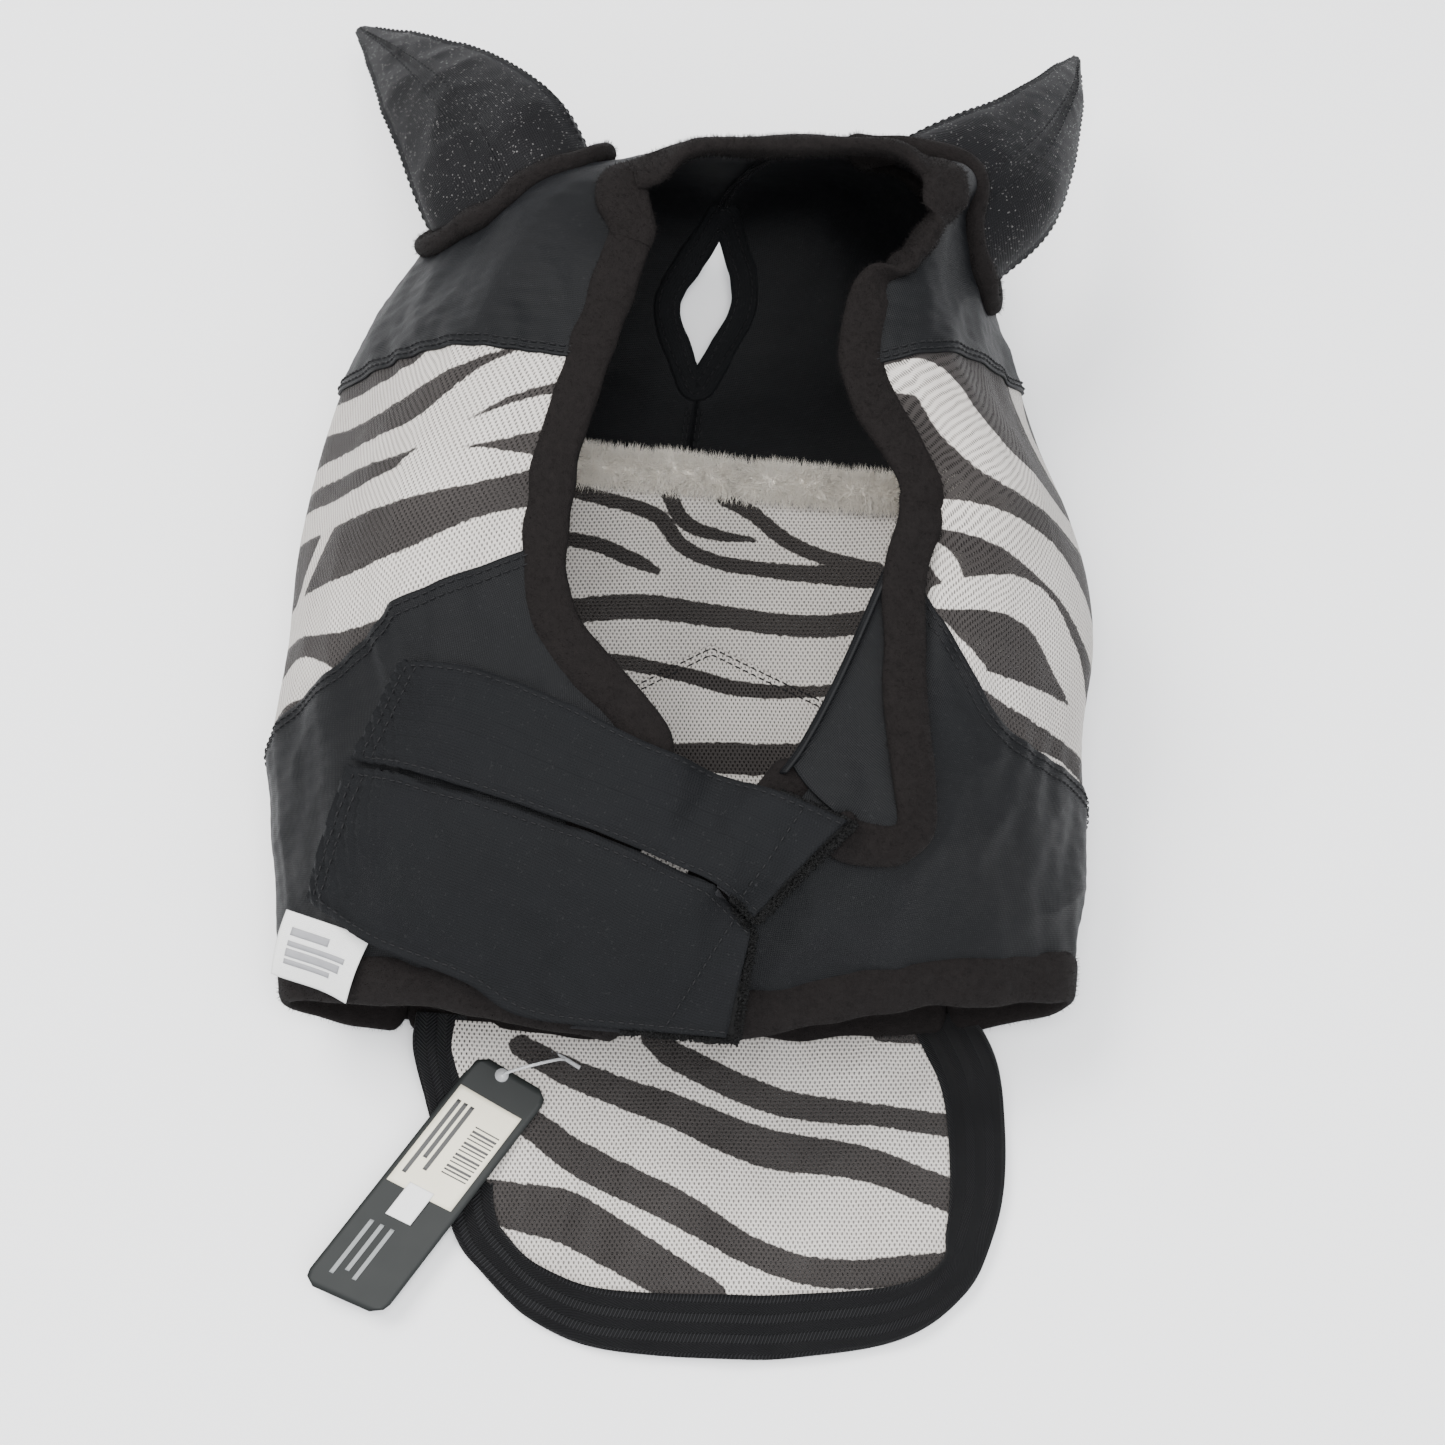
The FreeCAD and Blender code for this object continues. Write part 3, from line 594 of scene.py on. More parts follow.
CARD_PRINT = plain_finish("tag_print", (0.17, 0.18, 0.18), (0.22, 0.23, 0.23), 0.5)
STICKER = plain_finish("sticker", (0.70, 0.65, 0.50), (0.80, 0.76, 0.62), 0.5, 60)
PRICE = plain_finish("price_sticker", (0.70, 0.70, 0.69), (0.80, 0.80, 0.79), 0.45, 60)
BARS = plain_finish("sticker_ink", (0.02, 0.02, 0.02), (0.05, 0.05, 0.05), 0.5)
CLEAR = plain_finish("clear_filament", (0.85, 0.86, 0.87), (0.92, 0.93, 0.94), 0.12, Transmission_Weight=0.6)
FLOOR = plain_finish("floor", (0.93, 0.93, 0.93), (0.95, 0.95, 0.95), 0.9, 12, 0.0)


# ------------------------------------------------------------------ zebra stripes
# Rows of (t, s, half width in mm). On the eye panels they are the light stripes, on the face the dark ones.
LEFT_LIGHT = [
    [(5.3, -0.27, 4), (5.0, -0.42, 5), (4.8, -0.55, 6), (4.75, -0.68, 7), (5.05, -0.80, 6), (5.3, -0.86, 4)],
    [(4.2, -0.27, 5), (4.3, -0.42, 5), (4.3, -0.55, 5), (4.25, -0.75, 6), (4.8, -0.87, 7), (5.2, -0.97, 7)],
    [(4.02, -0.75, 2), (4.3, -0.86, 5), (4.55, -0.95, 6), (4.45, -1.0, 6)],
    [(3.4, -0.27, 5), (3.75, -0.40, 5), (3.9, -0.51, 6), (3.8, -0.67, 6), (3.95, -0.82, 7), (4.08, -0.93, 3)],
    [(3.75, -0.63, 5), (3.55, -0.61, 4), (3.3, -0.58, 3), (3.15, -0.55, 4)],
    [(2.7, -0.27, 5), (3.0, -0.42, 6), (3.1, -0.56, 7), (3.05, -0.68, 9), (3.2, -0.79, 9), (3.5, -0.90, 8),
     (3.7, -1.0, 6)],
    [(2.1, -0.27, 5), (2.3, -0.42, 6), (2.45, -0.52, 7), (2.55, -0.59, 7), (2.35, -0.66, 5)],
    [(1.5, -0.27, 4), (1.8, -0.37, 5), (2.1, -0.46, 5), (2.2, -0.49, 3)],
    [(0.9, -0.27, 4), (1.2, -0.33, 4), (1.4, -0.37, 3)],
]
RIGHT_LIGHT = [
    [(4.95, 0.95, 4), (4.8, 0.85, 7), (4.4, 0.83, 8), (4.05, 0.77, 8), (3.8, 0.61, 6), (3.8, 0.45, 6),
     (4.1, 0.27, 5)],
    [(5.3, 0.50, 5), (5.0, 0.56, 6), (4.55, 0.58, 7), (4.2, 0.54, 5), (4.3, 0.40, 5), (4.8, 0.27, 5)],
    [(3.75, 0.96, 5), (3.5, 0.80, 6), (3.25, 0.66, 8), (2.9, 0.53, 7), (3.0, 0.40, 6), (3.4, 0.27, 5)],
    [(2.95, 0.88, 4), (2.95, 0.72, 7), (2.6, 0.62, 8), (2.25, 0.53, 6), (2.3, 0.40, 6), (2.6, 0.27, 5)],
    [(2.35, 0.76, 3), (2.15, 0.62, 6), (2.0, 0.49, 6), (1.8, 0.39, 5), (1.9, 0.27, 4)],
    [(1.85, 0.67, 2), (1.7, 0.58, 4), (1.45, 0.45, 4), (1.2, 0.34, 4), (1.2, 0.27, 3)],
    [(3.45, 0.95, 3), (3.2, 0.89, 4), (2.95, 0.85, 2)],
    [(2.7, 0.86, 3), (2.4, 0.77, 3)],
]
FACE_DARK = [
    [(4.95, -0.25, 4), (4.85, -0.16, 4), (4.70, -0.09, 3), (4.55, -0.03, 3), (4.3, 0.0, 3), (4.15, 0.05, 3),
     (4.05, 0.16, 4), (4.0, 0.25, 5)],
    [(4.75, -0.02, 3), (4.5, 0.0, 3), (4.4, 0.03, 2.5), (4.35, 0.07, 1)],
    [(4.68, 0.04, 3), (4.55, 0.07, 3), (4.35, 0.10, 3), (4.2, 0.14, 3), (4.1, 0.19, 3)],
    [(4.4, -0.2, 3), (4.35, -0.10, 3), (4.2, -0.05, 3), (4.1, -0.025, 1.5)],
    [(3.55, -0.25, 5), (3.7, -0.15, 5), (3.8, -0.05, 5), (3.72, 0.03, 4.5), (3.62, 0.13, 4.5), (3.75, 0.25, 5)],
    [(3.35, -0.15, 2), (3.3, -0.06, 3), (3.15, 0.01, 3), (3.03, 0.06, 3), (3.02, 0.13, 2.5), (3.15, 0.25, 2)],
    [(2.5, -0.25, 4), (2.35, -0.12, 5), (2.4, 0.02, 6), (2.4, 0.10, 6), (2.6, 0.25, 5)],
    [(1.9, -0.25, 4), (1.75, -0.10, 5), (1.9, 0.04, 4), (1.7, 0.16, 5), (1.85, 0.25, 4)],
    [(1.2, -0.25, 5), (1.3, -0.10, 5), (1.1, 0.05, 6), (1.2, 0.25, 5)],
    [(0.6, -0.25, 4), (0.55, -0.05, 5), (0.7, 0.10, 4), (0.55, 0.25, 4)],
    [(5.1, -0.10, 3), (5.05, 0.03, 4), (4.95, 0.12, 2)],
]
# On the nose flap: rows of (x, y, half width), all in mm, of the dark stripes.
FLAP_DARK = [
    [(-14, -136, 4), (-2, -145, 5), (31, -159, 5), (72, -165, 4), (93, -168, 4)],
    [(-60, -140, 4), (-43, -149, 5), (-8, -162, 6), (25, -175, 7), (60, -181, 6), (97, -195, 6)],
    [(-72, -160, 4), (-58, -166, 5), (-38, -180, 6), (-6, -196, 6), (23, -212, 5), (52, -219, 5), (90, -216, 5)],
    [(-74, -192, 6), (-60, -196, 8), (-42, -200, 9), (-21, -212, 8), (6, -228, 7)],
    [(66, -136, 2), (80, -134, 5), (104, -132, 7)],
    [(98, -141, 4), (93, -152, 2)],
]


def stripe_value(points, stripes, light, on_shell=True):
    """How far inside a light area each point is, in mm; negative in a dark one."""
    best = np.full(len(points), -1e3)
    for stripe in stripes:
        line = curve_through(stripe, 14)
        centre = shell(line[:, 0], line[:, 1]) if on_shell else np.c_[line[:, :2] * MM, np.zeros(len(line))]
        gap = np.linalg.norm(points[:, None] - centre[None], axis=-1)
        best = np.maximum(best, (line[None, :, 2] - gap / MM).max(axis=1))
    return best if light else -best


# ------------------------------------------------------------------ pieces of the shell
def panel_grid(t_low, t_high, s_low, s_high, rows, columns, out=0.0):
    """Places and points of a patch of the shell, row by row along it."""
    share, s = two_ways(rows, columns, across=(s_low, s_high))
    low, high = (end(s) if callable(end) else np.full(s.shape, end, float) for end in (t_low, t_high))
    t = low + (high - low) * share
    return t, s, skin(t, s, out)


def cloth_panel(name, node, t_low, t_high, s_low, s_high, rows, columns, out, thick, stripes=None, hole=None):
    """A sheet of the shell's cloth, its outer side out metres from the surface."""
    t, s, points = panel_grid(t_low, t_high, s_low, s_high, rows, columns, out)
    faces, uvs = flipped(grid_faces(rows, columns)), lengths(points)
    flat = points.reshape(-1, 3)
    material, slot, stripe = NYLON, "black_cloth", None
    if stripes is not None:
        material, slot = ZEBRA, "zebra_mesh"
        stripe = stripe_value(shell(t, s).reshape(-1, 3), stripes, stripes is not FACE_DARK)
    if hole is not None:
        keep = ~hole(flat, t.ravel(), s.ravel())
        faces = [face for face in faces if all(keep[k] for k in face)]
    piece = make_object(name, flat, faces, material, uvs, thick, stripe)
    place(piece, "shell", slot, node)


THREADS = []


STITCH_PITCH, STITCH_LONG = 0.0032, 0.0024


def stitch_path(points, normals, thick=0.00030):
    """A row of stitches along a path of points, each a short rounded bar that dips at its ends."""
    far = lengths_so_far(points)
    count = max(1, int(far[-1] / STITCH_PITCH))
    middles = (np.arange(count) + 0.5) * far[-1] / count
    ends = np.array([-0.5, -0.28, 0.28, 0.5]) * STITCH_LONG
    at = np.clip(middles[:, None] + ends[None, :], 0, far[-1])
    line, up = at_length(at, far, points), unit(at_length(at, far, normals))
    ahead = unit(line[:, -1:] - line[:, :1]) * np.ones_like(line)
    side = unit(np.cross(up, ahead))
    line = line + up * np.array([-0.0002, 0.0002, 0.0002, -0.0002])[:, None]
    wide = np.array([0.5, 1.0, 1.0, 0.5])[:, None, None] * thick
    turn = full_turn(5)
    ring = (line[:, :, None] + side[:, :, None] * np.cos(turn)[:, None] * wide
            + up[:, :, None] * np.sin(turn)[:, None] * wide)
    base = grid_faces(4, 5, closed=True) + [(4, 3, 2, 1, 0), (15, 16, 17, 18, 19)]
    faces = [tuple(20 * n + k for k in face) for n in range(count) for face in base]
    return ring.reshape(-1, 3), faces


def sew(t, s, out):
    """Stitches along places on the shell, on its inner side where out is negative."""
    THREADS.append(stitch_path(skin(t, s, out), outward(t, s) * (1 if out > 0 else -1)))


def stitch_row(t, s, out):
    """Stitches along a way on the shell that is given by a few places."""
    way = resample(np.stack([t, s * 5], -1), 160)
    sew(way[:, 0], way[:, 1] / 5, out)


def threads(name, parts):
    return make_object(name, *join(parts)[:2], THREAD)


def plush_tube(name, node, points, normals, half_side, half_up, seed, hairs, lump, closed=False):
    """A padded strip along a path, with short hairs."""
    if closed:
        along = unit(np.roll(points, -1, 0) - np.roll(points, 1, 0))
    else:
        along = unit(np.gradient(points, axis=0))
    side = unit(np.cross(normals, along))
    made = tube(points, side, unit(np.cross(along, side)), half_side, half_up, 22, 2.5, lump, seed, closed)
    fuzz = fibres(made[0], made[1], hairs, 0.0019, 0.00018, seed + 50, 0.75)
    spots, faces, uvs = join([made, fuzz])
    spots[:, 2] = np.maximum(spots[:, 2], 0.0002)
    piece = make_object(name, spots, faces, PLUSH, uvs)
    place(piece, "shell", "plush_binding", node)


def band(name, node, t, s, half_side, half_up, lift, seed, hairs, shift=0.0):
    """A plush binding along a way on the shell, its ends rounded off."""
    points = skin(t, s, lift) + slopes(t, s)[1] * (np.ones(len(t)) * shift)[:, None]
    end = np.minimum(np.arange(len(points)), np.arange(len(points))[::-1]) / 3
    rounding = np.sqrt(1 - (1 - np.clip(end, 0.06, 1))**2)
    plush_tube(name, node, points, outward(t, s), half_side * rounding, half_up * rounding, seed, hairs, 0.0004)


# ------------------------------------------------------------------ mesh, lining and black panels
SEAM_IN = FACE - 0.012
LAP = 0.07


def fold_edge(s):
    """Where the right cheek's free corner is folded back."""
    return 3.3 - 8.7 * (1 - s)


def lining_edge(s):
    """The upper edge of the nose lining, which rises to a point."""
    return 3.45 - 5 * np.abs(s - 0.03)


FORELOCK = np.array([(11, 172), (-7, 147), (1, 114), (17, 150)], float) * MM


def forelock_hole(points, t, s):
    """Which points of the crown cloth are in the hole."""
    inside = (t > 5) & (t < 7.15) & (np.abs(s) < 0.3)
    for a, b in zip(FORELOCK, np.roll(FORELOCK, -1, 0)):
        inside &= (b[0] - a[0]) * (points[:, 1] - a[1]) - (b[1] - a[1]) * (points[:, 0] - a[0]) > 0
    return inside


def above(edge, step):
    return lambda s: edge(s) + step


cloth_panel("face_mesh", "face_mesh_panel", 0.16, above(crown_seam, LAP), -FACE - 0.015, FACE + 0.015,
            190, 120, 0.0, 0.0009, FACE_DARK)
for side, low, high, stripes in (("left", -RIM, -SEAM_IN, LEFT_LIGHT), ("right", SEAM_IN, RIM, RIGHT_LIGHT)):
    cloth_panel(f"{side}_eye_mesh_cloth", f"{side}_eye_mesh", above(cheek_seam, -LAP), above(crown_seam, LAP),
                low, high, 120, 130, 0.0006, 0.0009, stripes)
for side, low, high in (("left", -RIM, -SEAM_IN), ("right", SEAM_IN, 1.0)):
    cloth_panel(f"{side}_cheek_cloth", f"{side}_cheek_panel", 0.12, above(cheek_seam, 0.03), low, high,
                120, 130, 0.0018, 0.0010)
for side, low, high in (("left", -RIM, 0.0), ("right", 0.0, RIM)):
    cloth_panel(f"{side}_crown_cloth", f"{side}_crown_panel", above(crown_seam, -0.03), above(poll_seam, 0.12),
                low, high, 130, 130, 0.0018, 0.0010, hole=forelock_hole)
cloth_panel("nose_lining", "nose_lining_mesh", 0.14, lining_edge, -FACE, FACE, 150, 100, -0.0013, 0.0008, FACE_DARK)

# the right cheek's free corner is folded back over the cheek, its edge bound
t, s, points = panel_grid(lambda s: 1.15 + 3.75 * (np.clip(s, 0.8, 1) - 0.8), fold_edge, 0.775, 1.0, 70, 40)
lift = 0.0046 + 0.0012 * (1 - s) / 0.2 + 0.0007 * waves(points, 90, 21)
points = points + outward(t, s) * lift[..., None]
uvs = lengths(points)
turnback = make_object("right_turnback_cloth", points, flipped(grid_faces(70, 40)), NYLON, uvs, 0.0011)
place(turnback, "shell", "black_cloth", "right_turnback")
t, rim = np.linspace(1.85, 3.3, 60), np.full(60, 1.0)
turn = np.linspace(-math.pi / 2, math.pi / 2, 9)
roll = (skin(t, rim)[:, None] + outward(t, rim)[:, None] * (0.0030 + 0.0016 * np.sin(turn)[None, :, None])
        + slopes(t, rim)[1][:, None] * (0.0016 * np.cos(turn)[None, :, None]))
fold = make_object("right_fold_cloth", roll, flipped(grid_faces(60, 9)), NYLON, lengths(roll), 0.0010)
place(fold, "shell", "black_cloth", "right_cheek_fold")

# ------------------------------------------------------------------ plush bindings
BIND_WIDE, BIND_HIGH = 0.0076, 0.0030      # half the width and half the height of the rim's plush
BIND_AT = 0.972                            # |s| of its middle


def along_rim(low, high, side, count):
    return np.linspace(low, high, count), np.full(count, side * BIND_AT)


t, s = along_rim(0.14, 7.9, -1, 190)
low_end = 1 - smooth(t, 1.4, 2.1)
band("rim_plush_left", "rim_binding_left", t, s, BIND_WIDE + 0.0045 * low_end, BIND_HIGH, 0.0004, 31, 12000,
     0.0105 * low_end)
band("rim_plush_right", "rim_binding_right", *along_rim(3.75, 7.9, 1, 120), BIND_WIDE, BIND_HIGH, 0.0004, 32, 8500)
band("rim_plush_right_low", "rim_binding_right_low", *along_rim(0.14, 1.9, 1, 50), BIND_WIDE, BIND_HIGH,
     0.0004, 33, 3500, 0.002)
for name, low, high, half_up, lift in (("left", -RIM, -0.27, 0.0031, 0.0004), ("right", 0.27, RIM, 0.0031, 0.0004),
                                       ("front", -0.27, 0.27, 0.0037, -0.0010)):
    band(f"hem_plush_{name}", f"muzzle_binding_{name}", np.full(110, 0.20), np.linspace(low, high, 110),
         0.0088, half_up, lift, 34, 7500)
half_poll = [(7.0, BIND_AT), (7.45, 0.971), (7.9, 0.930), (8.25, 0.84), (8.56, 0.70), (8.82, 0.5), (8.90, 0.25)]
poll_way = curve_through([(t, -s) for t, s in half_poll] + [(8.92, 0.0)] + half_poll[::-1], 14)
fade = smooth(np.abs(poll_way[:, 1]), 0.88, BIND_AT)
band("poll_plush", "poll_binding", *poll_way.T, 0.0086 - 0.0006 * fade, 0.0031, 0.0014 - 0.0006 * fade, 37, 12000)
corner = curve_through([(4.0, 0.973), (3.7, 0.974), (3.4, 0.973), (3.0, 0.952), (2.5, 0.905), (2.0, 0.850),
                        (1.62, 0.808), (1.38, 0.783), (1.24, 0.778), (1.17, 0.795), (1.22, 0.84), (1.40, 0.88)])
lift = 0.0004 + 0.0052 * smooth(4.05 - np.minimum(corner[:, 0], 4.0), 0.1, 0.8)
band("turnback_plush", "turnback_binding", *corner.T, 0.0070, 0.0027, lift, 38, 7000)

# ------------------------------------------------------------------ the forelock hole's facing and the fleece pad
inner = np.stack(two_ways(180, 120, (5.2, 7.2), (-0.25, 0.25)), -1).reshape(-1, 2)
spots = skin(inner[:, 0], inner[:, 1])


def places_under(line):
    """The shell places (t, s) nearest to points (x, y) near the forelock hole."""
    gap = np.linalg.norm(spots[None, :, :2] - line[:, None, :2], axis=-1)
    return inner[gap.argmin(axis=1)]


def round_loop(corners, per, cut):
    """A closed loop through the corners, each cut round."""
    ways = []
    for a, b, c in zip(np.roll(corners, 1, 0), corners, np.roll(corners, -1, 0)):
        start, end = b + (a - b) * cut, b + (c - b) * cut
        w = np.linspace(0, 1, per)[:, None]
        ways.append(start * (1 - w)**2 + b * 2 * w * (1 - w) + end * w**2)
    line = np.concatenate(ways)
    return resample(np.concatenate([line, line[:1]]), 97)[:-1]


diamond = round_loop(FORELOCK, 10, 0.2)


def ring_round(grow):
    """Places on the shell all round the hole, grow metres outside its edge."""
    line = places_under(diamond + unit(diamond - diamond.mean(axis=0)) * grow)
    for _ in range(3):
        line = (np.roll(line, 1, 0) + line * 2 + np.roll(line, -1, 0)) / 4
    return line[:, 0], line[:, 1]


t, s = ring_round(0.0042)
path, up = skin(t, s, 0.0006), outward(t, s)
across = unit(np.cross(up, unit(np.roll(path, -1, 0) - np.roll(path, 1, 0))))
points, faces, uvs = tube(path, across, up, 0.0052, 0.0019, 18, 3.2, 0.0002, 5, True)
place(make_object("forelock_facing_cloth", points, faces, STRAP, uvs), "shell", "black_cloth", "forelock_facing")
for grow in (0.0015, 0.0072):
    for out in (-0.0016, 0.0028):
        sew(*ring_round(grow), out)

a, b = two_ways(34, 110, (-1, 1), (-1, 1))
s = 0.025 + b * 0.235 * (1 - 0.06 * a**4)
t = brow_edge(s) + 0.13 + a * 0.11 * (1 - 0.15 * b**8)
height = np.clip((1 - np.abs(a)**3.2), 0, 1)**0.6 * np.clip((1 - np.abs(b)**7), 0, 1)**0.6
top = skin(t, s, -0.0016)
height = height * (0.0070 + 0.0012 * waves(top, 300, 9) + 0.0007 * waves(top, 800, 10))
top = top - outward(t, s) * height[..., None]
flat = skin(t, s, -0.0013)
faces = grid_faces(*a.shape)
fuzz = fibres(top.reshape(-1, 3), faces, 26000, 0.0062, 0.00040, 41, 0.8)
fuzz[0][:, 2] = np.maximum(fuzz[0][:, 2], 0.0012)
points, faces, uvs = join([(top, faces, lengths(top)), (flat, flipped(faces), lengths(flat)), fuzz])
fleece = make_object("brow_fleece", points, faces, FLEECE, uvs)
place(fleece, "shell", "fleece", "brow_fleece_pad")

# ------------------------------------------------------------------ stitching on the shell
for side, seam, turn in ((-1, cheek_seam, -1), (1, cheek_seam, -1), (-1, crown_seam, 1), (1, crown_seam, 1)):
    s = side * np.linspace(0.26, 0.95, 120)
    for off in (0.012, 0.075):
        stitch_row(seam(s) + turn * off, s, 0.0020)
s = np.linspace(-0.25, 0.25, 90)
for off in (0.02, 0.08):
    stitch_row(crown_seam(s) + off, s, -0.0012)
    stitch_row(lining_edge(s) - off - 0.02, s, -0.0022)
for side in (-1, 1):
    for off in (0.0045, 0.0095):
        for low, high, count, out in ((5.02, 5.45, 40, -0.0012), (7.2, 8.6, 60, -0.0012),
                                      (4.98, 5.45, 20, 0.0022), (7.2, 8.6, 60, 0.0022)):
            stitch_row(np.linspace(low, high, count), np.full(count, side * off), out)
    stitch_row(np.linspace(0.35, 5.2, 140), np.full(140, side * 0.268), 0.0021)
place(threads("shell_stitching", THREADS), "shell", "black_cloth")

# ------------------------------------------------------------------ the jaw straps
UPPER_STRAP = (
    [(-93, -39), (-58, -46), (-15, -68), (12, -78), (53, -94)],
    [(-111, -65), (-77, -78), (-41, -91.6), (4, -110.4), (22, -122.5)],
)
LOWER_STRAP = (
    [(-112, -66.3), (-77, -79.8), (-41, -92.3), (4, -111.2), (21, -125.5)],
    [(-127, -106), (-104, -124), (-72, -138), (-48, -150), (16, -156)],
)
t, s = np.meshgrid(np.arange(0.0, 4.5, 0.03), np.concatenate([np.arange(0.5, 1.0, 0.012), [0.99]]), indexing="ij")
t, s = np.concatenate([t.ravel(), t.ravel()]), np.concatenate([-s.ravel(), s.ravel()])
thick = np.where(np.abs(s) > 0.93, 0.0054, 0.0020) + np.where((s > 0.77) & (t > 1.15) & (t < fold_edge(s)), 0.0050, 0)
JAW = skin(t, s) + outward(t, s) * thick[:, None]


def jaw_height(x, y):
    """The height of the mask's top side under places (x, y)."""
    heights = np.empty(x.size)
    spots = np.stack([x.ravel(), y.ravel()], -1)
    for start in range(0, x.size, 400):
        spot = spots[start:start + 400]
        gap = np.linalg.norm(JAW[None, :, :2] - spot[:, None], axis=-1)
        near = np.where(gap < 0.006, JAW[None, :, 2], -1).max(axis=1)
        weight = 1 / (gap**3 + 1e-9)
        far = (weight * JAW[None, :, 2]).sum(axis=1) / weight.sum(axis=1)
        heights[start:start + 400] = np.where(near > 0, near, far)
    return heights.reshape(x.shape)


STRAP_CLEAR = 0.0026    # how high a strap's cloth lies over what is under it, in metres
HOOK_FROM = 103         # the row of a strap's grid where its hook tape begins


def neighbours(z):
    """The sum of the four values round each one."""
    wide = np.pad(z, 1, mode="edge")
    return wide[:-2, 1:-1] + wide[2:, 1:-1] + wide[1:-1, :-2] + wide[1:-1, 2:]


def strap_grid(strap, rows, columns, clear, rounds, along, across=(0, 1)):
    """A strip of cloth laid across the jaw: pulled tight for some rounds over what is under it."""
    u, v = two_ways(rows, columns, along, across)
    edges = []
    for edge in strap:
        line = with_ends(np.array(edge) * MM)
        i, w = catmull(u * 4, 5)
        edges.append(sum(w[..., k, None] * line[i + k] for k in range(4)))
    plan = edges[0] * (1 - v)[..., None] + edges[1] * v[..., None]
    floor_z = jaw_height(plan[..., 0], plan[..., 1]) + clear
    z = floor_z
    for _ in range(rounds):
        z = np.maximum(floor_z, neighbours(z) / 4)
    for _ in range(4):
        z = (z * 4 + neighbours(z)) / 8
    sewn = floor_z - clear + 0.0022
    z = sewn + (z - sewn) * smooth(u, 0.02, 0.24)
    return np.concatenate([plan, z[..., None]], -1), u, v


def strap_normals(grid):
    """Upward normals of a strap."""
    normals = np.cross(np.gradient(grid, axis=1), np.gradient(grid, axis=0))
    return unit(normals) * np.where(normals[..., 2:] < 0, -1, 1)


for name, strap, start, end in (
        ("upper", UPPER_STRAP, (-0.101, -0.052, 0.108), (-0.074, -0.060, 0.114)),
        ("lower", LOWER_STRAP, (-0.119, -0.088, 0.082), (-0.094, -0.099, 0.090))):
    grid, u, v = strap_grid(strap, 120, 40, STRAP_CLEAR, 90, (0, 0.985))
    up = strap_normals(grid)
    edge_roll = np.maximum(0, np.abs(v - 0.5) - 0.44) / 0.06
    crease = waves(grid * np.array([1, 1, 0.3]), 130, 51) * 0.0006 + ridges(grid, 300, 52) * 0.00035
    crease = crease * smooth(u, 0.02, 0.2) - 0.0005 * edge_roll**2
    rim_line = np.exp(-((np.abs(v - 0.5) - 0.43) / 0.012)**2) * 0.0005
    grid = grid + up * (crease - rim_line)[..., None]
    uvs = lengths(grid)
    piece = make_object(f"{name}_strap_cloth", grid, grid_faces(120, 40), STRAP, uvs, 0.0018)
    hang(piece, f"{name}_strap_body", start, end, "strap_cloth", f"{name}_strap")
    seams = [stitch_path(grid[4:, k], up[4:, k]) for k in (2, 37)]
    seams += [stitch_path(grid[k, 2:38], up[k, 2:38]) for k in (3, 6, 110)]
    hang(threads(f"{name}_strap_stitching", seams), f"{name}_strap_body", start, end, "black_cloth")
    hook = strap_grid(strap, 120, 40, STRAP_CLEAR, 90, (0, 0.998))[0][HOOK_FROM:] - np.array([0, 0, STRAP_CLEAR])
    rim = np.concatenate([hook[:, 0], hook[-1, 1:], hook[::-1, -1][1:]])
    up = repeated([0, 0, 1], len(rim))
    edge = tube(rim, up, unit(np.cross(np.gradient(rim, axis=0), up)), 0.0006, 0.0006, 6, 2)
    hairs = fibres(*edge[:2], 2200, 0.0016, 0.00016, 61, 0.9)
    points, faces, uvs = join([(hook, grid_faces(*hook.shape[:2]), lengths(hook)), hairs])
    piece = make_object(f"{name}_hook_tape", points, faces, HOOK, uvs, 0.0007)
    place(piece, f"{name}_strap_body", "hook_tape", f"{name}_hook_pad")
    loop = strap_grid(strap, 30, 34, 0.0004, 30, (0.80, 1), (-0.01, 1.01))[0]
    piece = make_object(f"{name}_loop_tape", loop, grid_faces(30, 34), LOOP, lengths(loop), 0.0008)
    place(piece, "shell", "loop_tape", f"{name}_loop_pad")

# ------------------------------------------------------------------ the ear covers
EARS = {
    "left": (7.6, -0.5, (60, 9, 20), (-127.5, 247, 40)),
    "right": (7.5, 0.5, (-28, 43, 20), (145, 230, 46)),
}
EAR_ALONG = np.array([0, 0.3, 0.6, 0.85, 1.0])
EAR_HALF_WIDTH = {"left": np.array([32, 28, 20, 9, 1.6]) * MM, "right": np.array([31, 23, 15, 7.5, 1.6]) * MM}
EAR_HALF_DEPTH = np.array([19, 9.5, 5.5, 3.0, 1.1]) * MM
EAR_KNEE = 0.038        # how far the ear runs straight out before it bends to its tip


def drop_to_skin(ring, z, side):
    """How far along z each point of a ring is from the crown cloth of its side."""
    t, s = two_ways(240, 160, (5.5, 9), (0.1, 1.0))
    cloud = skin(t, np.sign(side) * s).reshape(-1, 3)
    gap = np.linalg.norm(np.cross(cloud[None] - ring[:, None], z), axis=-1)
    drop = (cloud[gap.argmin(axis=1)] - ring) @ z
    for _ in range(6):
        drop = (np.roll(drop, 1) + 2 * drop + np.roll(drop, -1)) / 4
    return drop


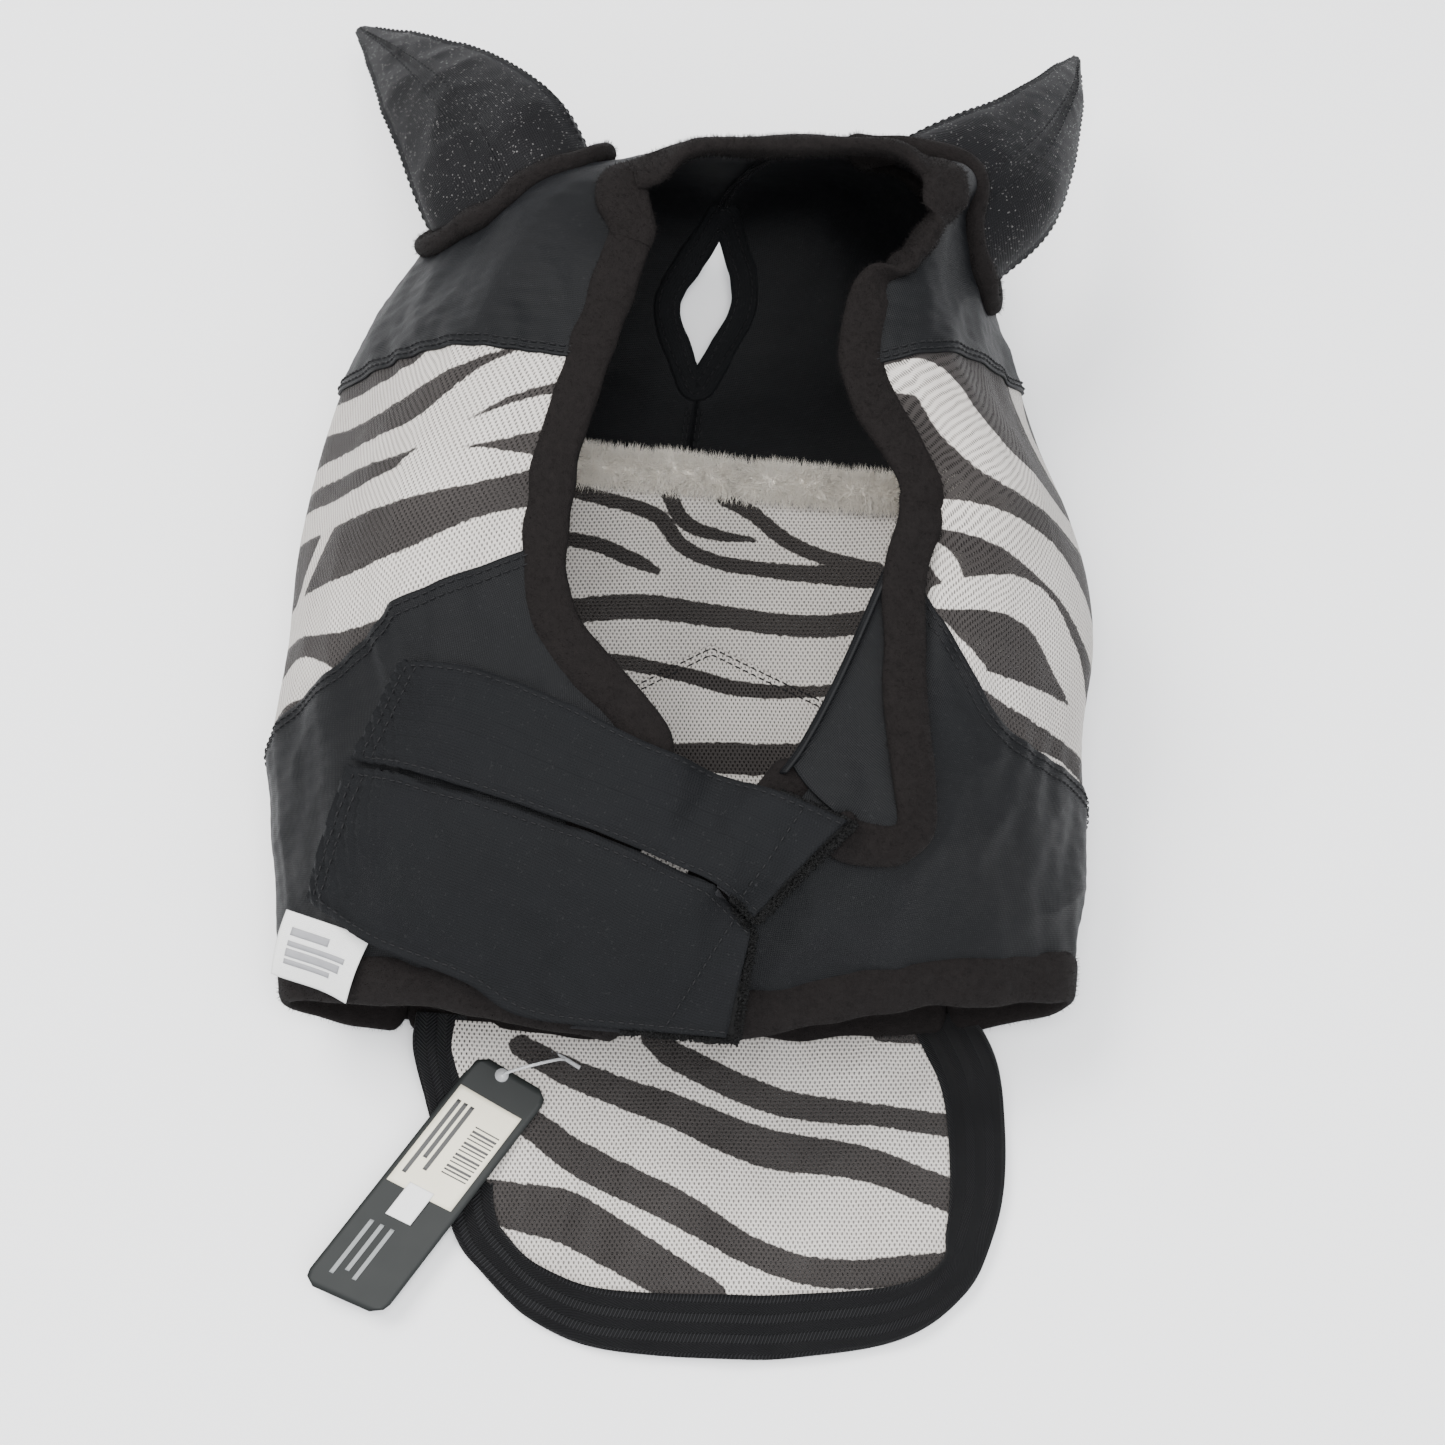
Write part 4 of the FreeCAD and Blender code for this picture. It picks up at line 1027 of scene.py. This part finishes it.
for name, (t0, s0, wide, tip) in EARS.items():
    origin, z = shell(t0, s0), outward(t0, s0)
    x = unit(np.array(wide, float) - z * np.dot(wide, z))
    turn = np.stack([x, np.cross(z, x), z])
    tip = (np.array(tip) * MM - origin) @ turn.T
    rows, count = 110, 88
    w = np.linspace(0, 1, rows)[:, None]
    start, knee = np.array([0, 0, 0.0015]), np.array([0, 0, EAR_KNEE])
    spine = start * (1 - w)**2 + knee * 2 * w * (1 - w) + tip * w**2
    ahead = unit((knee - start) * (1 - w) + (tip - knee) * w)
    side = unit(np.array([1.0, 0, 0]) - ahead * ahead[:, :1])
    deep = np.cross(ahead, side)
    half = between(list(zip(EAR_ALONG, EAR_HALF_WIDTH[name])), w[:, 0])
    depth = between(list(zip(EAR_ALONG, EAR_HALF_DEPTH)), w[:, 0])
    angle = full_turn(count)
    c, d = np.cos(angle), np.sin(angle)
    flat_d = np.sign(d) * np.abs(d)**0.85
    local = (spine[:, None] + side[:, None] * (half[:, None] * c)[..., None]
             + deep[:, None] * (depth[:, None] * flat_d)[..., None])
    push = unit(side[:, None] * c[None, :, None] / half[:, None, None] * 0.01
                + deep[:, None] * flat_d[None, :, None] / depth[:, None, None] * 0.01)
    slack = smooth(w, 0.03, 0.2) * (1 - 0.75 * smooth(w, 0.8, 1.0))
    seed = 71 if name == "left" else 81
    body = waves(local, 40, seed) * 1.2 + ridges(local, 75, seed + 1) * 1.3
    body = body + ridges(local, 190, seed + 2) * 0.45 + waves(local, 800, seed + 3) * 0.06
    body = body * (0.25 + 0.75 * np.abs(d)[None, :])
    ridge_at = 0.25 if turn[1, 2] >= 0 else 0.75      # where the upper side's crease is, as a share of a turn
    crease = np.exp(-((angle[None, :] - ridge_at * 2 * math.pi) / 0.10)**2) * 1.4
    ridge = (np.exp(-((c - 1) / 0.012)**2) + np.exp(-((c + 1) / 0.012)**2))[None, :] * 1.5
    local = local + push * (((body - crease) * slack + ridge * (0.3 + 0.7 * slack)) * MM)[..., None]
    points = local @ turn + origin
    points = points + z * (drop_to_skin(points[0], z, s0) * (1 - smooth(w, 0.0, 0.3)))[..., None]
    faces = grid_faces(rows, count, closed=True)
    uvs = np.stack([np.broadcast_to(angle * 0.03, (rows, count)), np.broadcast_to(w * 0.15, (rows, count))], -1)
    faces.append(tuple((rows - 1) * count + j for j in range(count)))
    ear = make_object(f"{name}_ear_cloth", points, faces, EAR_MESH, uvs, 0.0009)
    base, neck = points[0].mean(axis=0), points[26].mean(axis=0)
    hang(ear, f"{name}_ear", base, neck, "ear_mesh", f"{name}_ear_back", f"{name}_ear_front")
    seams = []
    top = int(count * ridge_at)
    for k in (top - 2, top + 2, 1, count - 1, count // 2 - 1, count // 2 + 1):
        normal = unit(np.cross(np.roll(points, -1, 1)[:, k] - np.roll(points, 1, 1)[:, k],
                               np.gradient(points[:, k], axis=0)))
        seams.append(stitch_path(points[8:-4, k], normal[8:-4], 0.00022))
    hang(threads(f"{name}_ear_stitching", seams), f"{name}_ear", base, neck, "black_cloth")
    angle = full_turn(96)
    ring = np.stack([np.cos(angle) * 0.0335, np.sin(angle) * 0.0208, np.zeros(96)], -1) @ turn + origin
    ring = ring + z * (drop_to_skin(ring, z, s0) + 0.0032)[:, None]
    plush_tube(f"{name}_ear_plush", f"{name}_ear_binding", ring, repeated(z, 96), 0.0062, 0.0040, 91, 6500,
               0.00055, closed=True)

# ------------------------------------------------------------------ the nose flap
FLAP_OUTER = [(-96, -130), (-97, -142), (-93, -158), (-88, -176), (-82, -204), (-73, -217), (-55, -234),
              (-31, -244), (8, -247.5), (37, -247), (72, -241), (93, -227), (103, -210), (109, -186),
              (108, -152), (98, -128)]
FLAP_INNER = [(-78, -130), (-77, -144), (-73, -160), (-69, -178), (-68, -196), (-64, -205), (-52, -216),
              (-30, -224), (8, -226), (33, -226), (70, -223), (86, -215), (88, -205), (90, -186),
              (88, -156), (78, -132)]
FLAP_START, FLAP_END = (0.007, -0.136, 0.002), (0.007, -0.150, 0.002)


def flap_ripple(points):
    return ((1 + waves(points * np.array([1.0, 0.30, 1.0]), 85, 101)) * 0.0014
            + ridges(points * np.array([1.0, 0.5, 1.0]), 240, 102) * 0.0007)


def corner_rise(points):
    """The flap's two upper corners come up to the hem, which is higher at the sides."""
    return 0.0125 * smooth(points[..., 1], -0.170, -0.135) * smooth(np.abs(points[..., 0] - 0.004), 0.066, 0.105)


def flap_sheet(first, last, columns):
    """A sheet on the floor from one edge line to another."""
    share = np.linspace(0, 1, columns)[None, :, None]
    sheet = first[:, None] * (1 - share) + last[:, None] * share
    return np.concatenate([sheet, np.zeros(sheet.shape[:2] + (1,))], -1)


outer, inner = curve_through(FLAP_OUTER, 14) * MM, curve_through(FLAP_INNER, 14) * MM
web = flap_sheet(outer, inner, 12)
step = np.linspace(0, 1, len(web))[:, None]
pucker = np.sin(step * 95 + 1.2 * waves(web, 30, 103)) * 0.0006 * smooth(np.abs(step - 0.5), 0.5, 0.1)
web[..., 2] = 0.0027 + flap_ripple(web) * 0.28 + pucker * (1 - np.linspace(0, 1, 12)[None, :]) + corner_rise(web)
uvs = lengths(web)
webbing = make_object("flap_webbing", web, grid_faces(len(web), 12), WEBBING, uvs, 0.0022)
hang(webbing, "nose_flap", FLAP_START, FLAP_END, "webbing", "nose_flap_webbing")
seams = [stitch_path(web[:, k], repeated([0, 0, 1], len(web))) for k in (1, 10)]
hang(threads("flap_stitching", seams), "nose_flap", FLAP_START, FLAP_END, "webbing")
rim = inner + (outer - inner) * 0.4
cloth = flap_sheet(rim, np.stack([np.linspace(-0.088, 0.086, len(rim)), np.full(len(rim), -0.1320)], -1), 90)
edge_in = smooth(np.linspace(0, 1, 90)[None, :], 0.0, 0.15)
cloth[..., 2] = 0.0012 + flap_ripple(cloth) * (0.3 + 1.0 * edge_in) + corner_rise(cloth)
stripe = stripe_value(cloth.reshape(-1, 3) * np.array([1, 1, 0]), FLAP_DARK, False, on_shell=False)
flap = make_object("flap_mesh", cloth, grid_faces(len(rim), 90), ZEBRA, cloth[..., :2], 0.0007, stripe)
hang(flap, "nose_flap", FLAP_START, FLAP_END, "zebra_mesh", "nose_flap_mesh")


# ------------------------------------------------------------------ the swing tag, its fastener and the label
TAG = np.array([(-74, -143, 9.1), (-49, -158, 9.5), (-105, -234, 8.2), (-133, -222, 8.4)]) * MM
TAG_ROUND = 0.12        # the share of the tag's length that its rounded corners take up at each end


def on_tag(name, a, b, more, thick, material, slot, *nodes):
    """A thin sheet on the tag, raised by more: a goes from 0 to 1 along the tag and b across it."""
    points = quad(TAG, a, b)
    points[..., 2] = points[..., 2] + 0.0022 * a**2 + 0.0006 * (2 * b - 1)**2 + more
    piece = make_object(name, points, flipped(grid_faces(*a.shape)), material, points[..., :2], thick)
    place(piece, "swing_tag", slot, *nodes)


def tag_patch(name, low, high, left, right, more, material, *nodes):
    """Paper or print on the tag: from low to high along it, from left to right across it."""
    slot = "tag_board" if material is CARD_PRINT else "sticker_paper"
    on_tag(name, *two_ways(24, 12, (low, high), (left, right)), more, 0.00025, material, slot, *nodes)


a, b = two_ways(40, 16)
cut = np.clip((np.abs(2 * a - 1) - (1 - TAG_ROUND)) / TAG_ROUND, 0, 1)
pinch = 1 - np.sqrt(np.clip(1 - cut**2, 0, 1))
on_tag("tag_board", a, 0.5 + (b - 0.5) * (1 - 0.30 * pinch), 0.0, 0.0008, CARD, "tag_board", "tag_card")
tag_patch("tag_paper", 0.13, 0.55, 0.06, 0.90, 0.00035, STICKER, "tag_sticker")
tag_patch("tag_price_paper", 0.52, 0.66, 0.30, 0.62, 0.00065, PRICE, "price_sticker")
for k in range(13):
    low = 0.235 + k * 0.0165
    tag_patch(f"tag_bar_{k:02d}", low, low + (0.005, 0.009, 0.0065)[k % 3], 0.52, 0.84, 0.00055, BARS)
for k, (left, right, far) in enumerate(((0.14, 0.19, 0.50), (0.23, 0.28, 0.42), (0.32, 0.37, 0.46))):
    tag_patch(f"tag_line_{k}", 0.18, far, left, right, 0.00055, BARS)
for k, (left, right, far) in enumerate(((0.20, 0.25, 0.93), (0.33, 0.38, 0.90), (0.46, 0.51, 0.92))):
    tag_patch(f"tag_print_{k}", 0.70, far, left, right, 0.00030, CARD_PRINT)

rise = curve_through([(-66, -151, 9.1), (-63, -150, 11.5), (-55, -148, 12.7), (-47, -145.5, 9.8),
                      (-44, -144.5, 4.6)], 12) * MM
side = unit(np.cross(unit(np.gradient(rise, axis=0)), [0.3, 1.0, 0]))
lift = unit(np.cross(unit(np.gradient(rise, axis=0)), side))
filament = tube(rise, side, lift, 0.00055, 0.00055, 10, 2)
bar = curve_through([(-49, -141.5, 5.4), (-44, -144.5, 5.4), (-39, -147.5, 5.4)], 8) * MM
cross_bar = tube(bar, unit(repeated([0.5, 0.85, 0], len(bar))), repeated([0, 0, 1], len(bar)), 0.0008, 0.0008, 10, 2)
head = curve_through([(-66, -151, 8.9), (-66, -151, 10.3)], 6) * MM
knob = tube(head, repeated([1, 0, 0], len(head)), repeated([0, 1, 0], len(head)), 0.0024, 0.0024, 18, 2)
points, faces, uvs = join([filament, cross_bar, knob])
piece = make_object("tag_filament", points, faces, CLEAR, uvs)
place(piece, "nose_flap", "clear_filament", "tag_fastener")

label_out = outward(0.46, -0.60)
label_corners = np.array([(-130, -106, 72), (-101, -117, 77.5), (-110, -136, 64), (-135, -125, 61)], float) * MM
a, b = two_ways(26, 30)
lift = 0.0056 + 0.0012 * np.sin(a * math.pi) + 0.0012 * a * np.cos(b * 5)
points = quad(label_corners, a, b) + label_out * lift[..., None]
label = make_object("label_satin", points, flipped(grid_faces(26, 30)), SATIN, lengths(points), 0.0004)
place(label, "label", "label_satin", "size_label")
bars = []
for low, high, left, right in ((0.22, 0.30, 0.15, 0.62), (0.40, 0.46, 0.15, 0.84), (0.54, 0.60, 0.15, 0.80),
                               (0.68, 0.74, 0.15, 0.70)):
    rows, columns = slice(int(low * 25), int(high * 25) + 2), slice(int(left * 29), int(right * 29) + 1)
    patch = points[rows, columns] + label_out * 0.00022
    bars.append((patch, flipped(grid_faces(*patch.shape[:2]))))
place(make_object("label_print", *join(bars)[:2], INK, thick=0.0001), "label", "label_satin")

# ------------------------------------------------------------------ floor, light and camera
bpy.ops.mesh.primitive_plane_add(size=12, location=(0, 0, -0.0004))
floor = bpy.context.object
floor.name = "floor"
floor.data.materials.append(FLOOR)


def area_light(name, place_at, aim, size, power, colour=(1, 1, 1)):
    light = bpy.data.lights.new(name, "AREA")
    light.size = size
    light.energy = power
    light.color = colour
    lamp = bpy.data.objects.new(name, light)
    lamp.location = place_at
    lamp.rotation_mode = "QUATERNION"
    lamp.rotation_quaternion = (Vector(aim) - Vector(place_at)).to_track_quat("-Z", "Y")
    bpy.context.scene.collection.objects.link(lamp)


area_light("key", (-0.9, 0.5, 1.9), (0, 0, 0.05), 1.0, 52, (1.0, 0.985, 0.965))
area_light("top", (0.05, -0.35, 1.7), (0, 0.02, 0.05), 0.6, 25, (1.0, 1.0, 1.0))
area_light("fill", (0.5, -1.0, 1.7), (0, 0, 0.05), 1.6, 24, (0.96, 0.98, 1.0))
world = bpy.data.worlds.new("studio")
world.use_nodes = True
world.node_tree.nodes["Background"].inputs["Color"].default_value = (0.93, 0.95, 1.0, 1)
world.node_tree.nodes["Background"].inputs["Strength"].default_value = 1.1
bpy.context.scene.world = world

camera = bpy.data.cameras.new("camera")
camera.lens, camera.sensor_width = 71.18, 36
camera.clip_start, camera.clip_end = 0.02, 20
eye = bpy.data.objects.new("camera", camera)
elevation = 72          # degrees; the camera is a metre from the point that it looks at
eye.location = Vector((0.011, -0.033, 0.045)) + Vector((0, -math.cos(math.radians(elevation)),
                                                        math.sin(math.radians(elevation))))
eye.rotation_euler = (math.radians(90 - elevation), 0, 0)
bpy.context.scene.collection.objects.link(eye)
bpy.context.scene.camera = eye
